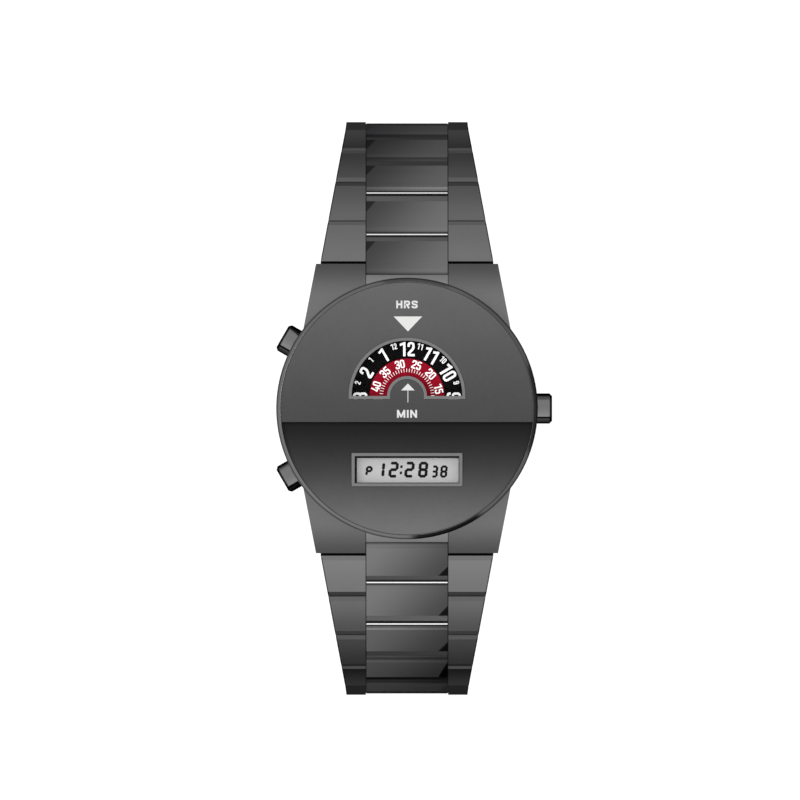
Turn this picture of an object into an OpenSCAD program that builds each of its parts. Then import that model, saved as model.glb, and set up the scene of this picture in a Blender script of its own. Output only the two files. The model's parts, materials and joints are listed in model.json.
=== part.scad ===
// Digital watch with two turning discs, a liquid crystal display and a linked steel bracelet.
// The origin is the middle of the case back's outer face. +Z goes up through the dial,
// +Y to twelve o'clock and +X to the crown. All lengths are in millimetres.

/* [Case] */
// Radius of the bezel, the widest round of the case
bezel_r = 20; // [18:0.1:23]
// Distance by which the bezel stands proud of the case middle's side
bezel_lip = 0.4; // [0.2:0.05:0.8]
// Thickness of the case back plate
back_t = 0.9; // [0.7:0.05:1.5]
// Height of the case middle's rim, where the bezel sits, above the case back's outer face
rim_z = 8.1; // [7.8:0.05:10]
// Thickness of the case middle's wall round the movement
case_wall = 3.7; // [3.2:0.05:4]
// Thickness of the bezel's wall at its foot
bezel_wall = 0.65; // [0.5:0.05:1]
// Height of the bezel above the case middle's rim
bezel_h = 2.35; // [1.9:0.05:3.5]
// Width of the polished chamfer round the bezel
bezel_chamfer = 0.6; // [0.2:0.05:0.9]
// Reach of a shoulder beyond the bezel
lug_reach = 2.15; // [1.5:0.05:5]
// Half of the case's width at the end of the shoulders
lug_end_half = 13.93; // [12:0.05:16]
// Widening of a shoulder towards the case for each millimetre along it
shoulder_flare = 0.193; // [0:0.001:0.4]
// Radius of the curve that the top of a shoulder falls along
shoulder_fall_r = 39.5; // [30:0.5:60]
// Distance from the middle at which a shoulder's top starts to fall
shoulder_crest_y = 7; // [5:0.5:9]
// Depth of the sunk panel between the two lugs of a shoulder
lug_panel_sink = 0.2; // [0.05:0.05:0.5]
// Number of case back screws
screw_count = 4; // [3:1:8]
// Distance of the case back screws from the case middle's side
screw_inset = 1.7; // [1.5:0.05:2]
// Radius of a screw's thread
screw_r = 0.5; // [0.3:0.05:0.55]
// Radius of a screw's head
screw_head_r = 0.9; // [0.7:0.05:0.95]
// Height of a screw's head
screw_head_h = 0.5; // [0.3:0.05:0.6]
// Length of a screw's thread inside the case middle
screw_reach = 2.6; // [1:0.1:4]

/* [Face] */
// Thickness of the face plate at its upper deck
face_t = 1.5; // [1.4:0.05:2]
// Thickness of the gasket under the face plate
face_gasket_t = 0.2; // [0.1:0.05:0.4]
// Distance from the dial's middle line down to the step between the two decks
step_y = 2.07; // [1:0.05:3]
// Depth of the step at the edge between the decks
step_drop = 0.95; // [0.4:0.05:1.2]
// How far the lower deck's far edge stays below the upper deck
deck_edge_drop = 0.1; // [0:0.05:0.3]
// Distance from the middle of the dial up to the axis of the discs
disc_axis_y = 1.92; // [1.5:0.01:2.4]
// Width of the hour scale in the arched window
hour_band = 2.73; // [2.4:0.01:3]
// Width of the minute scale in the arched window
minute_band = 2.68; // [2.2:0.01:3]
// Distance by which the hour disc reaches past the arched window
disc_overlap = 0.44; // [0.2:0.02:0.8]
// Width of the frames round the window and the display
frame_w = 0.47; // [0.3:0.01:0.6]
// Height of the arched frame above the face
arch_frame_rise = 0.12; // [0.05:0.01:0.4]
// Gap between the corners of the display's glass and the movement ring
display_corner_gap = 0.15; // [0.1:0.05:0.8]
// Height of the display opening across the face
display_h = 4.15; // [3.5:0.05:4.5]
// Distance from the movement ring's inside in to the middle of the display
display_inset = 5.3; // [5.1:0.05:6]
// Gap between the hour disc and the display's glass
disc_display_gap = 0.12; // [0.1:0.01:0.4]
// Thickness of both crystals
crystal_t = 0.5; // [0.3:0.05:0.7]
// Gap round a crystal or frame in its seat
seat_gap = 0.02; // [0.01:0.01:0.05]

/* [Discs and gears] */
// Thickness of a disc
disc_t = 0.2; // [0.1:0.02:0.24]
// Module of the gear pair between the cannon pinion and the minute wheel
minute_module = 0.2; // [0.2:0.01:0.2]
// Teeth of the cannon pinion
cannon_teeth = 12; // [12:1:12]
// Teeth of the minute wheel
minute_wheel_teeth = 36; // [36:1:36]
// Teeth of the pinion on the minute wheel
minute_pinion_teeth = 12; // [12:1:12]
// Teeth of the hour wheel
hour_wheel_teeth = 48; // [48:1:48]
// Thickness of a gear
gear_t = 0.3; // [0.2:0.02:0.32]
// Radius of the posts that the gears turn on
post_r = 0.3; // [0.2:0.01:0.32]
// Running gap between a post or pipe and what turns on it
run_gap = 0.05; // [0.02:0.01:0.08]

/* [Inside] */
// Wall of the movement ring
ring_wall = 1.1; // [0.8:0.05:1.3]
// Gap between the movement ring and the cavity
ring_gap = 0.15; // [0.05:0.05:0.3]
// Thickness of the circuit board
board_t = 0.6; // [0.4:0.05:0.8]
// Height of the circuit board's underside above the case back's outer face
board_z = 3.0; // [2.9:0.05:3.05]
// Thickness of the analog movement
movement_t = 3.1; // [2.9:0.05:3.15]
// Radius of the button cell
cell_r = 10; // [8:0.1:11]
// Thickness of the button cell
cell_t = 1.6; // [1.2:0.1:1.6]
// Thickness of the battery clip's strap
clip_t = 0.15; // [0.1:0.01:0.18]
// Thickness of the display's glass
display_glass_t = 1.9; // [1.2:0.1:2.1]

/* [Crown and pushers] */
// Height of the crown's and the pushers' axes above the case back's outer face
control_z = 5.0; // [4.6:0.05:5.2]
// Radius of the crown
crown_r = 2.32; // [1.8:0.02:2.6]
// Length of the crown
crown_len = 2.45; // [2.1:0.05:4]
// Travel of the crown when it is pulled out
crown_pull = 0.7; // [0.4:0.05:0.75]
// Radius of the setting stem
stem_r = 0.6; // [0.5:0.02:0.65]
// Outer radius of the crown tube
crown_tube_r = 1.3; // [1.1:0.05:1.4]
// Angle of a pusher from the crown's axis, on either side of nine o'clock
pusher_angle = 150; // [145:1:158]
// Radius of a pusher's cap
pusher_r = 2.25; // [2:0.05:2.4]
// Height of a pusher's outer face above the case's side
pusher_rise = 2.4; // [2.2:0.05:3.8]
// Travel of a pusher
pusher_travel = 0.8; // [0.3:0.05:0.85]
// Radius of a pusher's stem
pusher_stem_r = 0.55; // [0.4:0.05:0.65]
// Chamfer at the outer end of the crown and the pushers
control_chamfer = 0.4; // [0.1:0.05:0.6]

/* [Bracelet] */
// Distance between two link pins
row_pitch = 6.56; // [6.2:0.02:7.5]
// Number of rows of links on either side
row_count = 10; // [10:1:10]
// Slope of the first row with the bracelet closed, in degrees
first_tilt = 19.1; // [15:0.1:24]
// Slope of the second row, in degrees
second_tilt = 25.4; // [24:0.1:30]
// Bend from each row to the next after that, in degrees
tilt_step = 16.9; // [16:0.1:17.2]
// Height of the lug pins above the case back's outer face
lug_pin_z = 4.0; // [3.8:0.05:4.4]
// Height of a link's outer face above the pin line
link_top = 1.45; // [1.2:0.05:1.6]
// Depth of a link's inner face below the pin line
link_under = 0.95; // [0.8:0.05:1.1]
// Half of the width of the middle column of links
centre_half = 6.24; // [5.5:0.02:6.8]
// Gap between the middle column and the outer links
column_gap = 0.08; // [0.05:0.01:0.2]
// Half of the bracelet's width where it leaves the case
bracelet_half = 13.3; // [11.5:0.05:13.8]
// Half of the bracelet's width at the clasp
clasp_half = 9.3; // [8.8:0.05:10]
// Distance beyond the shoulders' ends over which the bracelet narrows
taper_len = 21.55; // [19:0.05:24]
// Reach of an outer link beyond its pin
ear_reach = 1.6; // [1.3:0.05:1.8]
// Gap between the square ends of two outer links
ear_gap = 0.06; // [0.05:0.01:0.15]
// Radius of the rolled end of a middle link's outer face
tongue_r = 1.35; // [1.1:0.05:1.4]
// Length of the slope from the rolled end up to a middle link's outer face
tongue_slope = 0.4; // [0.2:0.05:0.8]
// Distance from a pin back to the last middle link's end
lip_back = 0.5; // [0.4:0.05:0.7]
// Gap between a middle link's round end and its socket
socket_gap = 0.1; // [0.05:0.01:0.15]
// Length of the bevel at each end of an outer link's face
bevel_len = 0.7; // [0.3:0.05:1]
// Length of the bevel at the far end of a middle link's face
centre_bevel = 1.2; // [0.5:0.05:1.6]
// Fall of the bevel at each end of a link's outer face
bevel_drop = 0.2; // [0.05:0.05:0.4]
// Radius of a link pin
pin_r = 0.5; // [0.35:0.05:0.6]
// Gap round a link pin in its bore
pin_gap = 0.05; // [0.03:0.01:0.08]
// Radius of the tie pin that holds a row's three links together
tie_r = 0.4; // [0.3:0.05:0.5]
// Reach of the tie pin into each outer link
tie_reach = 1.6; // [1:0.1:2]

/* [Clasp] */
// Depth of the clasp's outer face below its end pins
clasp_drop = 2.1; // [2.05:0.05:2.6]
// Thickness of the clasp cover
cover_t = 1.0; // [0.7:0.05:1.05]
// Thickness of the clasp cover's side walls
cover_wall = 0.95; // [0.6:0.05:1.1]
// Thickness of a folding blade
blade_t = 0.8; // [0.6:0.05:0.85]
// Distance from the bracelet's end pins back to the clasp's folding hinges
fold_back = 4.98; // [4.7:0.02:6.5]
// Half of the width of the inner blade
inner_blade_half = 5.6; // [4.5:0.1:6]
// Half of the width of the folding hinge's middle knuckle
fold_knuckle_half = 3.4; // [2.5:0.1:4]
// Radius of a folding hinge's knuckle
fold_r = 0.95; // [0.85:0.01:0.96]
// Distance by which the cover's catch tongue stays back from the bracelet's end pin
catch_back = 0.3; // [0.2:0.05:0.4]

/* [Hidden] */
function two_digits(n) = n < 10 ? str("0", n) : str(n);
twelve_rows = [for (i = [1:row_count]) str("link_12_", two_digits(i))];
six_rows = [for (i = [1:row_count]) str("link_06_", two_digits(i))];

// Small amount by which a cut passes the face that it cuts
over = 0.5;
// Number of facets that a preview of a round takes
$fn = 64;

// Heights through the case
top_z = rim_z + bezel_h;
case_r = bezel_r - bezel_lip;
cavity_r = case_r - case_wall;
bezel_bore_r = bezel_r - bezel_wall;
screw_circle_r = case_r - screw_inset;
seat_z = rim_z + 0.5;
face_z = seat_z + face_gasket_t;
deck_z = face_z + face_t;
face_r = bezel_bore_r - run_gap;
chamfer_fall = 0.85 * bezel_chamfer;
sill_w = 0.3;
spigot_h = 0.3;
spigot_gap = 0.1;
edge_break = 0.4;
back_inset = 0.6;
back_gasket_h = 0.55;
back_gasket_w = 0.85;
back_line_inset = 2;
back_line_w = 0.4;
back_line_depth = 0.15;
screw_gap = 0.05;
screw_slot_w = 0.3;
screw_slot_depth = 0.25;
inner_floor_z = back_t + spigot_h;
board_top = board_z + board_t;
movement_top = board_top + movement_t;

// Lugs and the bracelet's closed line of pins
lug_end_y = bezel_r + lug_reach;
lug_pin_y = lug_end_y - ear_reach;
socket_r = link_under + socket_gap;
tongue_socket_r = tongue_r + socket_gap;
pin_bore_r = pin_r + pin_gap;
notch_half = centre_half + column_gap;
outer_face_start = ear_reach + ear_gap;
centre_end = row_pitch - lip_back;
tongue_slant = 0.2;
tie_u = (outer_face_start + centre_end) / 2;
half_slope = (bracelet_half - clasp_half) / taper_len;
function tilt(i) = i == 1 ? first_tilt : second_tilt + tilt_step * (i - 2);
function pin_y(i) = i == 1 ? lug_pin_y : pin_y(i - 1) + row_pitch * cos(tilt(i - 1));
function pin_z(i) = i == 1 ? lug_pin_z : pin_z(i - 1) - row_pitch * sin(tilt(i - 1));
function surface_y(i, u) = pin_y(i) + u * cos(tilt(i)) + link_top * sin(tilt(i));
function half_at(i, u) = tilt(i) > 90 ? clasp_half :
    max(clasp_half, bracelet_half - half_slope * (surface_y(i, u) - lug_end_y));
lug_bore_end = lug_end_half - 1.3;
lug_under_y = case_r - 1.2;
pin_inset = 0.15;
// Clasp heights and places, from the bracelet's end pins inwards
end_y = pin_y(row_count + 1);
end_z = pin_z(row_count + 1);
clasp_z = end_z - clasp_drop;
fold_y = end_y - fold_back;
cover_top_z = clasp_z + cover_t;
blade_gap = 0.15;
outer_blade_z = cover_top_z + blade_gap;
inner_blade_z = outer_blade_z + blade_t + blade_gap;
fold_z = inner_blade_z - blade_gap / 2;
hinge_gap = 0.1;
cover_fold_z = inner_blade_z - hinge_gap - fold_r;
cover_ear_r = cover_fold_z - clasp_z;
blade_half = clasp_half - cover_wall - hinge_gap;
cover_end_y = end_y - ear_reach - 2 * ear_gap;
catch_y = end_y - catch_back;
wall_top_z = inner_blade_z + 0.3;
catch_len = 1.1;
tail_len = 2;

// Gears, from the movement's top plate up to the discs
tooth_tip = 0.12;
tooth_root = 0.26;
tooth_out = 0.9;
tooth_in = 1.15;
gear_gap = 0.1;
disc_gap = 0.15;
hour_collar_h = 0.5;
wheel_z = movement_top + gear_gap;
hour_wheel_z = wheel_z + gear_t + gear_gap;
hour_disc_z = hour_wheel_z + gear_t + hour_collar_h;
minute_disc_z = hour_disc_z + disc_t + disc_gap;
hour_module = minute_module * (cannon_teeth + minute_wheel_teeth)
    / (minute_pinion_teeth + hour_wheel_teeth);
wheel_y = disc_axis_y + minute_module * (cannon_teeth + minute_wheel_teeth) / 2;
cannon_wall = 0.25;
hour_wall = 0.35;
cannon_r = post_r + run_gap + cannon_wall;
hour_pipe_r = cannon_r + run_gap + hour_wall;
disc_collar = 0.35;
collar_t = 0.13;

// Crown, stem and pushers, as distances from the middle of the case
crown_gap = 0.15;
crown_skin = 0.35;
crown_start_x = case_r + crown_gap;
crown_end_x = crown_start_x + crown_len;
crown_bore_r = crown_tube_r + 2 * run_gap;
stem_end_x = crown_end_x - crown_skin;
lever_inset = 4.5;
stem_reach = 3.8;
groove_x = cavity_r - lever_inset;
stem_tip_x = groove_x - stem_reach;
groove_len = 0.8;
groove_r = stem_r - 0.25;
gasket_r = 0.24;
gasket_gap = 0.035;
gasket_x = crown_start_x + crown_gap + gasket_r + 0.01;
crown_tube_end = gasket_x + gasket_r + crown_pull + seat_gap;
crown_bore_end = crown_tube_end + 5 * run_gap;
gasket_groove_r = crown_tube_r + 2 * (gasket_r + gasket_gap);
pocket_r = pusher_r + 2 * run_gap;
pocket_floor = case_r - 1;
pusher_end_r = case_r + pusher_rise;
pusher_cap_start = pocket_floor + pusher_travel + run_gap;
pusher_skin = 0.8;
pusher_tube_r = 1.0;
pusher_bore_end = pusher_end_r - pusher_skin;
spring_wire_r = 0.14;
spring_r = pusher_tube_r + spring_wire_r + 0.21;
spring_end_gap = 0.03;
spring_turns = 5;
clip_start = cavity_r - 0.3;
pusher_clip_t = 0.2;
clip_groove = 0.15;
spring_room = 0.15;
clip_r = 1.1;

// Movement ring, board and display
arch_crystal_sink = 0.2;
display_crystal_sink = 0.35;
ring_r = cavity_r - ring_gap;
board_r = ring_r - 0.55;
ring_inner_r = ring_r - ring_wall;
display_border_w = 0.71;
display_border_h = 0.175;
display_y = ring_inner_r - display_inset;
display_glass_h = display_h + 2 * display_border_h;
display_corner_r = ring_inner_r - display_corner_gap;
display_corner_y = display_y + display_glass_h / 2;
display_glass_w = 2 * sqrt(display_corner_r * display_corner_r - display_corner_y * display_corner_y);
display_w = display_glass_w - 2 * display_border_w;
hour_disc_r = disc_axis_y + display_y - display_glass_h / 2 - disc_display_gap;
arch_r = hour_disc_r - disc_overlap;
minute_disc_r = arch_r - hour_band;
hub_r = minute_disc_r - minute_band;
frame_base_z = face_z + run_gap;
board_foot_r = 0.6;
board_foot_inset = 1.5;
clip_half = 1.2;
clip_gap = 0.5;
clip_leg_t = 0.2;
movement_half = 9.6;
movement_gap = 0.4;
movement_low_y = -6.4;
movement_high_y = 12.4;
coil_at = [-7.4, 8.4];
coil_len = 3.2;
coil_r = 0.6;
coil_end_r = 0.85;
coil_end_t = 0.3;
coil_bay = [3.6, 2.2, 1.8];
zebra_w = 0.8;
lever_half = 2.2;
lever_sink = 0.3;
lever_notch_r = stem_r - 0.18;
lower_deck_z = deck_z - deck_edge_drop;
deck_run = face_r - step_y;
deck_rise = step_drop - deck_edge_drop;
deck_curve_r = (deck_run * deck_run + deck_rise * deck_rise) / (2 * deck_rise);

// Colours
steel = [0.27, 0.27, 0.28];
dark_steel = [0.20, 0.20, 0.21];
plate_grey = [0.36, 0.36, 0.37];
frame_grey = [0.60, 0.60, 0.61];
glass_tint = [0.75, 0.80, 0.85, 0.5];
disc_red = [0.72, 0.05, 0.10];
disc_black = [0.05, 0.05, 0.06];
brass = [0.75, 0.62, 0.32];
rubber = [0.08, 0.08, 0.08];
plastic = [0.85, 0.85, 0.82];
board_green = [0.10, 0.35, 0.20];
display_grey = [0.70, 0.71, 0.70];

// A cylinder along X, centred on the origin
module rod(r, len) rotate([0, 90, 0]) cylinder(h = len, r = r, center = true);

// A profile drawn in Y and Z, extruded along X and centred
module across(len) rotate([90, 0, 90]) linear_extrude(len, center = true) children();

// A tube that stands on the origin
module tube(outer, inner, h) difference() {
    cylinder(h = h, r = outer);
    translate([0, 0, -over]) cylinder(h = h + 2 * over, r = inner);
}

// A box from one corner to the opposite one
module block(low, high) translate(low) cube(high - low);

// The part of a cylinder along X that lies above a height
module upper_roll(r, len, low) intersection() {
    rod(r, len);
    block([-len, -r - over, low], [len, r + over, r + over]);
}

// Puts its children's Z axis along a pusher's axis, outwards from the middle of the case
module pusher_axis(side) rotate([0, 0, side * pusher_angle]) translate([0, 0, control_z])
    rotate([0, 90, 0]) children();

// Puts its children's Z axis along the crown's axis
module crown_axis() translate([0, 0, control_z]) rotate([0, 90, 0]) children();

module at_discs() translate([0, disc_axis_y, 0]) children();

// Case

function shoulder_half(y) = lug_end_half + shoulder_flare * (lug_end_y - y);

module shoulder_top(r) translate([0, shoulder_crest_y, rim_z - ear_gap - shoulder_fall_r])
    rod(r, 4 * case_r, $fn = 360);

module shoulder() {
    crest_half = shoulder_half(shoulder_crest_y);
    intersection() {
        linear_extrude(rim_z) polygon([
            [-crest_half, shoulder_crest_y], [crest_half, shoulder_crest_y],
            [lug_end_half, lug_end_y], [-lug_end_half, lug_end_y]]);
        union() {
            across(4 * case_r) polygon([
                [shoulder_crest_y, back_t], [lug_under_y, back_t],
                [lug_pin_y, lug_pin_z - ear_reach], [lug_pin_y, lug_pin_z],
                [lug_end_y, lug_pin_z], [lug_end_y, rim_z], [shoulder_crest_y, rim_z]]);
            translate([0, lug_pin_y, lug_pin_z]) rod(ear_reach, 4 * case_r);
        }
        shoulder_top(shoulder_fall_r);
    }
}

// The hollow that the rolled end of a first middle link turns in
module lug_socket() translate([0, lug_pin_y, lug_pin_z]) {
    upper_roll(tongue_socket_r, 2 * notch_half, 0);
    rod(socket_r, 2 * notch_half);
}

// What a shoulder loses between its lugs, for the first row's middle link and its pin
module lug_cuts() {
    block([-notch_half, lug_pin_y - socket_gap, lug_pin_z], [notch_half, lug_end_y + over, rim_z]);
    block([-notch_half, lug_pin_y - socket_r, 0], [notch_half, lug_end_y + over, lug_pin_z]);
    lug_socket();
    translate([0, lug_pin_y, lug_pin_z]) rod(pin_bore_r, 2 * lug_bore_end);
    difference() {
        block([-notch_half, shoulder_crest_y, lug_pin_z], [notch_half, lug_end_y, rim_z]);
        shoulder_top(shoulder_fall_r - lug_panel_sink);
    }
}

module screw_places() for (k = [0:screw_count - 1])
    rotate([0, 0, 360 / screw_count * (k + 0.5)]) translate([screw_circle_r, 0, 0]) children();

module case_middle() color(steel) difference() {
    union() {
        difference() {
            for (turn = [0, 180]) rotate([0, 0, turn]) shoulder();
            for (turn = [0, 180]) rotate([0, 0, turn]) lug_cuts();
        }
        translate([0, 0, back_t])
            cylinder(h = edge_break, r1 = case_r - edge_break, r2 = case_r, $fn = 128);
        translate([0, 0, back_t + edge_break])
            cylinder(h = rim_z - back_t - edge_break, r = case_r, $fn = 128);
        translate([0, 0, rim_z]) cylinder(h = seat_z - rim_z, r = face_r, $fn = 128);
    }
    for (turn = [0, 180]) rotate([0, 0, turn]) lug_socket();
    cylinder(h = seat_z + over, r = cavity_r, $fn = 128);
    cylinder(h = back_t + back_gasket_h + run_gap, r = cavity_r + back_gasket_w + run_gap, $fn = 128);
    screw_places() cylinder(h = back_t + screw_reach + 2 * screw_gap, r = screw_r + seat_gap);
    crown_axis() cylinder(h = crown_end_x, r = crown_tube_r + seat_gap);
    for (side = [1, -1]) pusher_axis(side) {
        cylinder(h = pusher_end_r, r = pusher_tube_r + seat_gap);
        translate([0, 0, pocket_floor]) cylinder(h = case_r, r = pocket_r);
    }
}

module case_back() color(dark_steel) difference() {
    back_r = case_r - back_inset;
    line_r = cavity_r - back_line_inset;
    union() {
        cylinder(h = edge_break, r1 = back_r - edge_break, r2 = back_r, $fn = 128);
        translate([0, 0, edge_break]) cylinder(h = back_t - edge_break, r = back_r, $fn = 128);
        translate([0, 0, back_t]) cylinder(h = spigot_h, r = cavity_r - spigot_gap, $fn = 128);
    }
    screw_places() {
        translate([0, 0, -over])
            cylinder(h = over + screw_head_h + screw_gap, r = screw_head_r + screw_gap);
        cylinder(h = back_t + over, r = screw_r + 2 * screw_gap);
    }
    translate([0, 0, -over]) tube(line_r, line_r - back_line_w, over + back_line_depth);
}

module case_back_gasket() color(rubber) translate([0, 0, back_t])
    tube(cavity_r + back_gasket_w, cavity_r - spigot_gap / 2, back_gasket_h, $fn = 128);

module case_back_screws() color(steel) screw_places() difference() {
    union() {
        translate([0, 0, screw_gap]) cylinder(h = screw_head_h, r = screw_head_r);
        cylinder(h = back_t + screw_reach, r = screw_r);
    }
    block([-screw_head_r, -screw_slot_w / 2, -over],
        [screw_head_r, screw_slot_w / 2, screw_gap + screw_slot_depth]);
}

module bezel_ring() color(steel) rotate_extrude($fn = 128) polygon([
    [bezel_bore_r, rim_z], [bezel_r, rim_z], [bezel_r, top_z - chamfer_fall],
    [bezel_r - bezel_chamfer, top_z], [bezel_bore_r, top_z]]);

// Face

module face_gasket() color(rubber) translate([0, 0, seat_z])
    tube(face_r - 2 * run_gap, cavity_r + sill_w, face_gasket_t, $fn = 128);

// The arch round the hub: foot is how far it reaches below the axis of the discs
module arch_block(outer, inner, foot, z, h) at_discs() translate([0, 0, z]) intersection() {
    tube(outer, inner, h, $fn = 128);
    block([-outer - over, -foot, -over], [outer + over, outer + over, h + over]);
}

module display_block(grow, z, h) translate([0, -display_y, z + h / 2])
    cube([display_w + 2 * grow, display_h + 2 * grow, h], center = true);

module face_plate() color(plate_grey) difference() {
    intersection() {
        translate([0, 0, face_z]) cylinder(h = face_t, r = face_r, $fn = 128);
        union() {
            block([-bezel_r, -step_y, face_z - over], [bezel_r, bezel_r, top_z]);
            translate([0, -face_r, lower_deck_z - deck_curve_r])
                rod(deck_curve_r, 3 * bezel_r, $fn = 1440);
        }
    }
    arch_block(arch_r + frame_w + seat_gap, hub_r - frame_w - seat_gap, frame_w + seat_gap,
        face_z - over, face_t + 2 * over);
    display_block(frame_w + seat_gap, face_z - over, face_t + 2 * over);
}

module arch_frame() color(frame_grey) difference() {
    arch_block(arch_r + frame_w, hub_r - frame_w, frame_w, frame_base_z,
        deck_z + arch_frame_rise - frame_base_z);
    arch_block(arch_r, hub_r, 0, face_z, face_t + 2 * over);
}

module lcd_frame() color(frame_grey) difference() {
    display_block(frame_w, frame_base_z, lower_deck_z - frame_base_z);
    display_block(0, face_z, face_t + over);
}

module arch_crystal() color(glass_tint) arch_block(arch_r - seat_gap, hub_r + seat_gap,
    -seat_gap, deck_z - arch_crystal_sink - crystal_t, crystal_t);

module lcd_crystal() color(glass_tint)
    display_block(-seat_gap, lower_deck_z - display_crystal_sink - crystal_t, crystal_t);

// Inside

module movement_ring() color(plastic) difference() {
    union() {
        translate([0, 0, inner_floor_z])
            tube(ring_r, board_r + run_gap, board_top - inner_floor_z, $fn = 128);
        translate([0, 0, board_top])
            tube(ring_r, ring_inner_r, face_z - 2 * run_gap - board_top, $fn = 128);
    }
    crown_axis() cylinder(h = bezel_r, r = stem_r + sill_w);
    for (side = [1, -1]) pusher_axis(side) cylinder(h = bezel_r, r = clip_r + 2 * run_gap);
}

module circuit_board() color(board_green) translate([0, 0, board_z]) difference() {
    cylinder(h = board_t, r = board_r, $fn = 128);
    for (turn = [0, 90, 180, 270]) rotate([0, 0, turn + 45])
        translate([ring_inner_r - board_foot_inset, 0, -over])
            cylinder(h = board_t + 2 * over, r = board_foot_r);
}

module battery() color("silver") translate([0, 0, inner_floor_z + clip_t])
    rotate_extrude($fn = 96) polygon([
        [0, 0], [cell_r - 0.3, 0], [cell_r, 0.3], [cell_r, cell_t - 0.4],
        [cell_r - 0.8, cell_t - 0.25], [cell_r - 1, cell_t], [0, cell_t]]);

module battery_clip() color(brass) {
    leg_x = cell_r + clip_gap;
    block([-leg_x, -clip_half, inner_floor_z], [leg_x, clip_half, inner_floor_z + clip_t]);
    for (side = [0, 180]) rotate([0, 0, side])
        block([leg_x - clip_leg_t, -clip_half, inner_floor_z], [leg_x, clip_half, board_z]);
}

module gear_post(y, top) translate([0, y, movement_top - over])
    cylinder(h = top - movement_top + over, r = post_r);

module coil_place() translate([coil_at[0], coil_at[1], movement_top - coil_end_r]) children();

module analog_movement() color(plastic) {
    difference() {
        intersection() {
            block([-movement_half, movement_low_y, board_top],
                [movement_half, movement_high_y, movement_top]);
            cylinder(h = movement_top, r = ring_inner_r - movement_gap, $fn = 128);
        }
        crown_axis() translate([0, 0, stem_tip_x - 4 * run_gap])
            cylinder(h = bezel_r, r = stem_r + 2 * run_gap);
        coil_place() block([-coil_bay[0] / 2, -coil_bay[1] / 2, -coil_bay[2] / 2],
            [coil_bay[0] / 2, coil_bay[1] / 2, coil_bay[2]]);
    }
    gear_post(disc_axis_y, minute_disc_z);
    gear_post(wheel_y, hour_wheel_z + gear_t + disc_gap);
}

module stepper_coil() color(brass) coil_place() rotate([0, 90, 0]) {
    cylinder(h = coil_len, r = coil_r, center = true);
    for (side = [-1, 1]) translate([0, 0, side * (coil_len - coil_end_t) / 2])
        cylinder(h = coil_end_t, r = coil_end_r, center = true);
}

module zebra_strips() color(rubber) for (side = [-1, 1])
    translate([0, -display_y + side * (display_glass_h - zebra_w - clip_leg_t) / 2,
        board_top + movement_t / 2])
        cube([display_glass_w - zebra_w, zebra_w, movement_t], center = true);

module lcd_panel() color(display_grey) translate([0, -display_y, movement_top + display_glass_t / 2])
    cube([display_glass_w, display_glass_h, display_glass_t], center = true);

// Motion work and discs

// Points of a gear's outline, with the middle of its first tooth on the X axis
function gear_outline(teeth, m) = [for (k = [0:teeth - 1]) for (p = [
        [-tooth_in, -tooth_root], [tooth_out, -tooth_tip], [tooth_out, tooth_tip],
        [-tooth_in, tooth_root]])
    let (r = teeth * m / 2 + p[0] * m, a = (k + p[1]) * 360 / teeth) [r * cos(a), r * sin(a)]];

module gear(teeth, m, z, h) translate([0, 0, z]) linear_extrude(h) polygon(gear_outline(teeth, m));

module bore(r) translate([0, 0, movement_top]) cylinder(h = bezel_r, r = r);

module cannon_pinion() color(brass) at_discs() difference() {
    union() {
        rotate([0, 0, 90]) gear(cannon_teeth, minute_module, wheel_z, gear_t);
        translate([0, 0, wheel_z]) cylinder(h = minute_disc_z + disc_t - wheel_z, r = cannon_r);
        translate([0, 0, minute_disc_z - collar_t])
            cylinder(h = collar_t, r = cannon_r + disc_collar);
    }
    bore(post_r + run_gap);
}

module minute_wheel() color(brass) translate([0, wheel_y, 0]) difference() {
    union() {
        rotate([0, 0, 270 + 180 / minute_wheel_teeth])
            gear(minute_wheel_teeth, minute_module, wheel_z, gear_t);
        rotate([0, 0, 270]) gear(minute_pinion_teeth, hour_module, wheel_z,
            2 * gear_t + 1.5 * gear_gap);
    }
    bore(post_r + run_gap);
}

module hour_wheel() color(brass) at_discs() difference() {
    union() {
        rotate([0, 0, 90 + 180 / hour_wheel_teeth])
            gear(hour_wheel_teeth, hour_module, hour_wheel_z, gear_t);
        translate([0, 0, hour_wheel_z])
            cylinder(h = hour_disc_z - hour_wheel_z, r = hour_pipe_r + disc_collar);
        translate([0, 0, hour_wheel_z])
            cylinder(h = hour_disc_z + disc_t - hour_wheel_z, r = hour_pipe_r);
    }
    bore(cannon_r + run_gap);
}

module minute_disc() color(disc_red) at_discs() translate([0, 0, minute_disc_z])
    tube(minute_disc_r, cannon_r + seat_gap, disc_t, $fn = 96);

module hour_disc() color(disc_black) at_discs() translate([0, 0, hour_disc_z])
    tube(hour_disc_r, hour_pipe_r + seat_gap, disc_t, $fn = 96);

// Crown and pushers

module crown_tube() color(steel) crown_axis() translate([0, 0, cavity_r])
    tube(crown_tube_r, stem_r + run_gap, crown_tube_end - cavity_r);

module crown() color(steel) crown_axis() difference() {
    rotate_extrude() polygon([
        [0, crown_start_x], [crown_r, crown_start_x], [crown_r, crown_end_x - control_chamfer],
        [crown_r - control_chamfer, crown_end_x], [0, crown_end_x]]);
    cylinder(h = crown_bore_end, r = crown_bore_r);
    translate([0, 0, gasket_x - gasket_r - gasket_gap])
        cylinder(h = 2 * (gasket_r + gasket_gap), r = gasket_groove_r);
    cylinder(h = stem_end_x, r = stem_r + seat_gap);
}

module setting_stem() color(brass) crown_axis() difference() {
    translate([0, 0, stem_tip_x]) cylinder(h = stem_end_x - stem_tip_x, r = stem_r);
    translate([0, 0, groove_x]) tube(stem_r + over, groove_r, groove_len);
}

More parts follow.
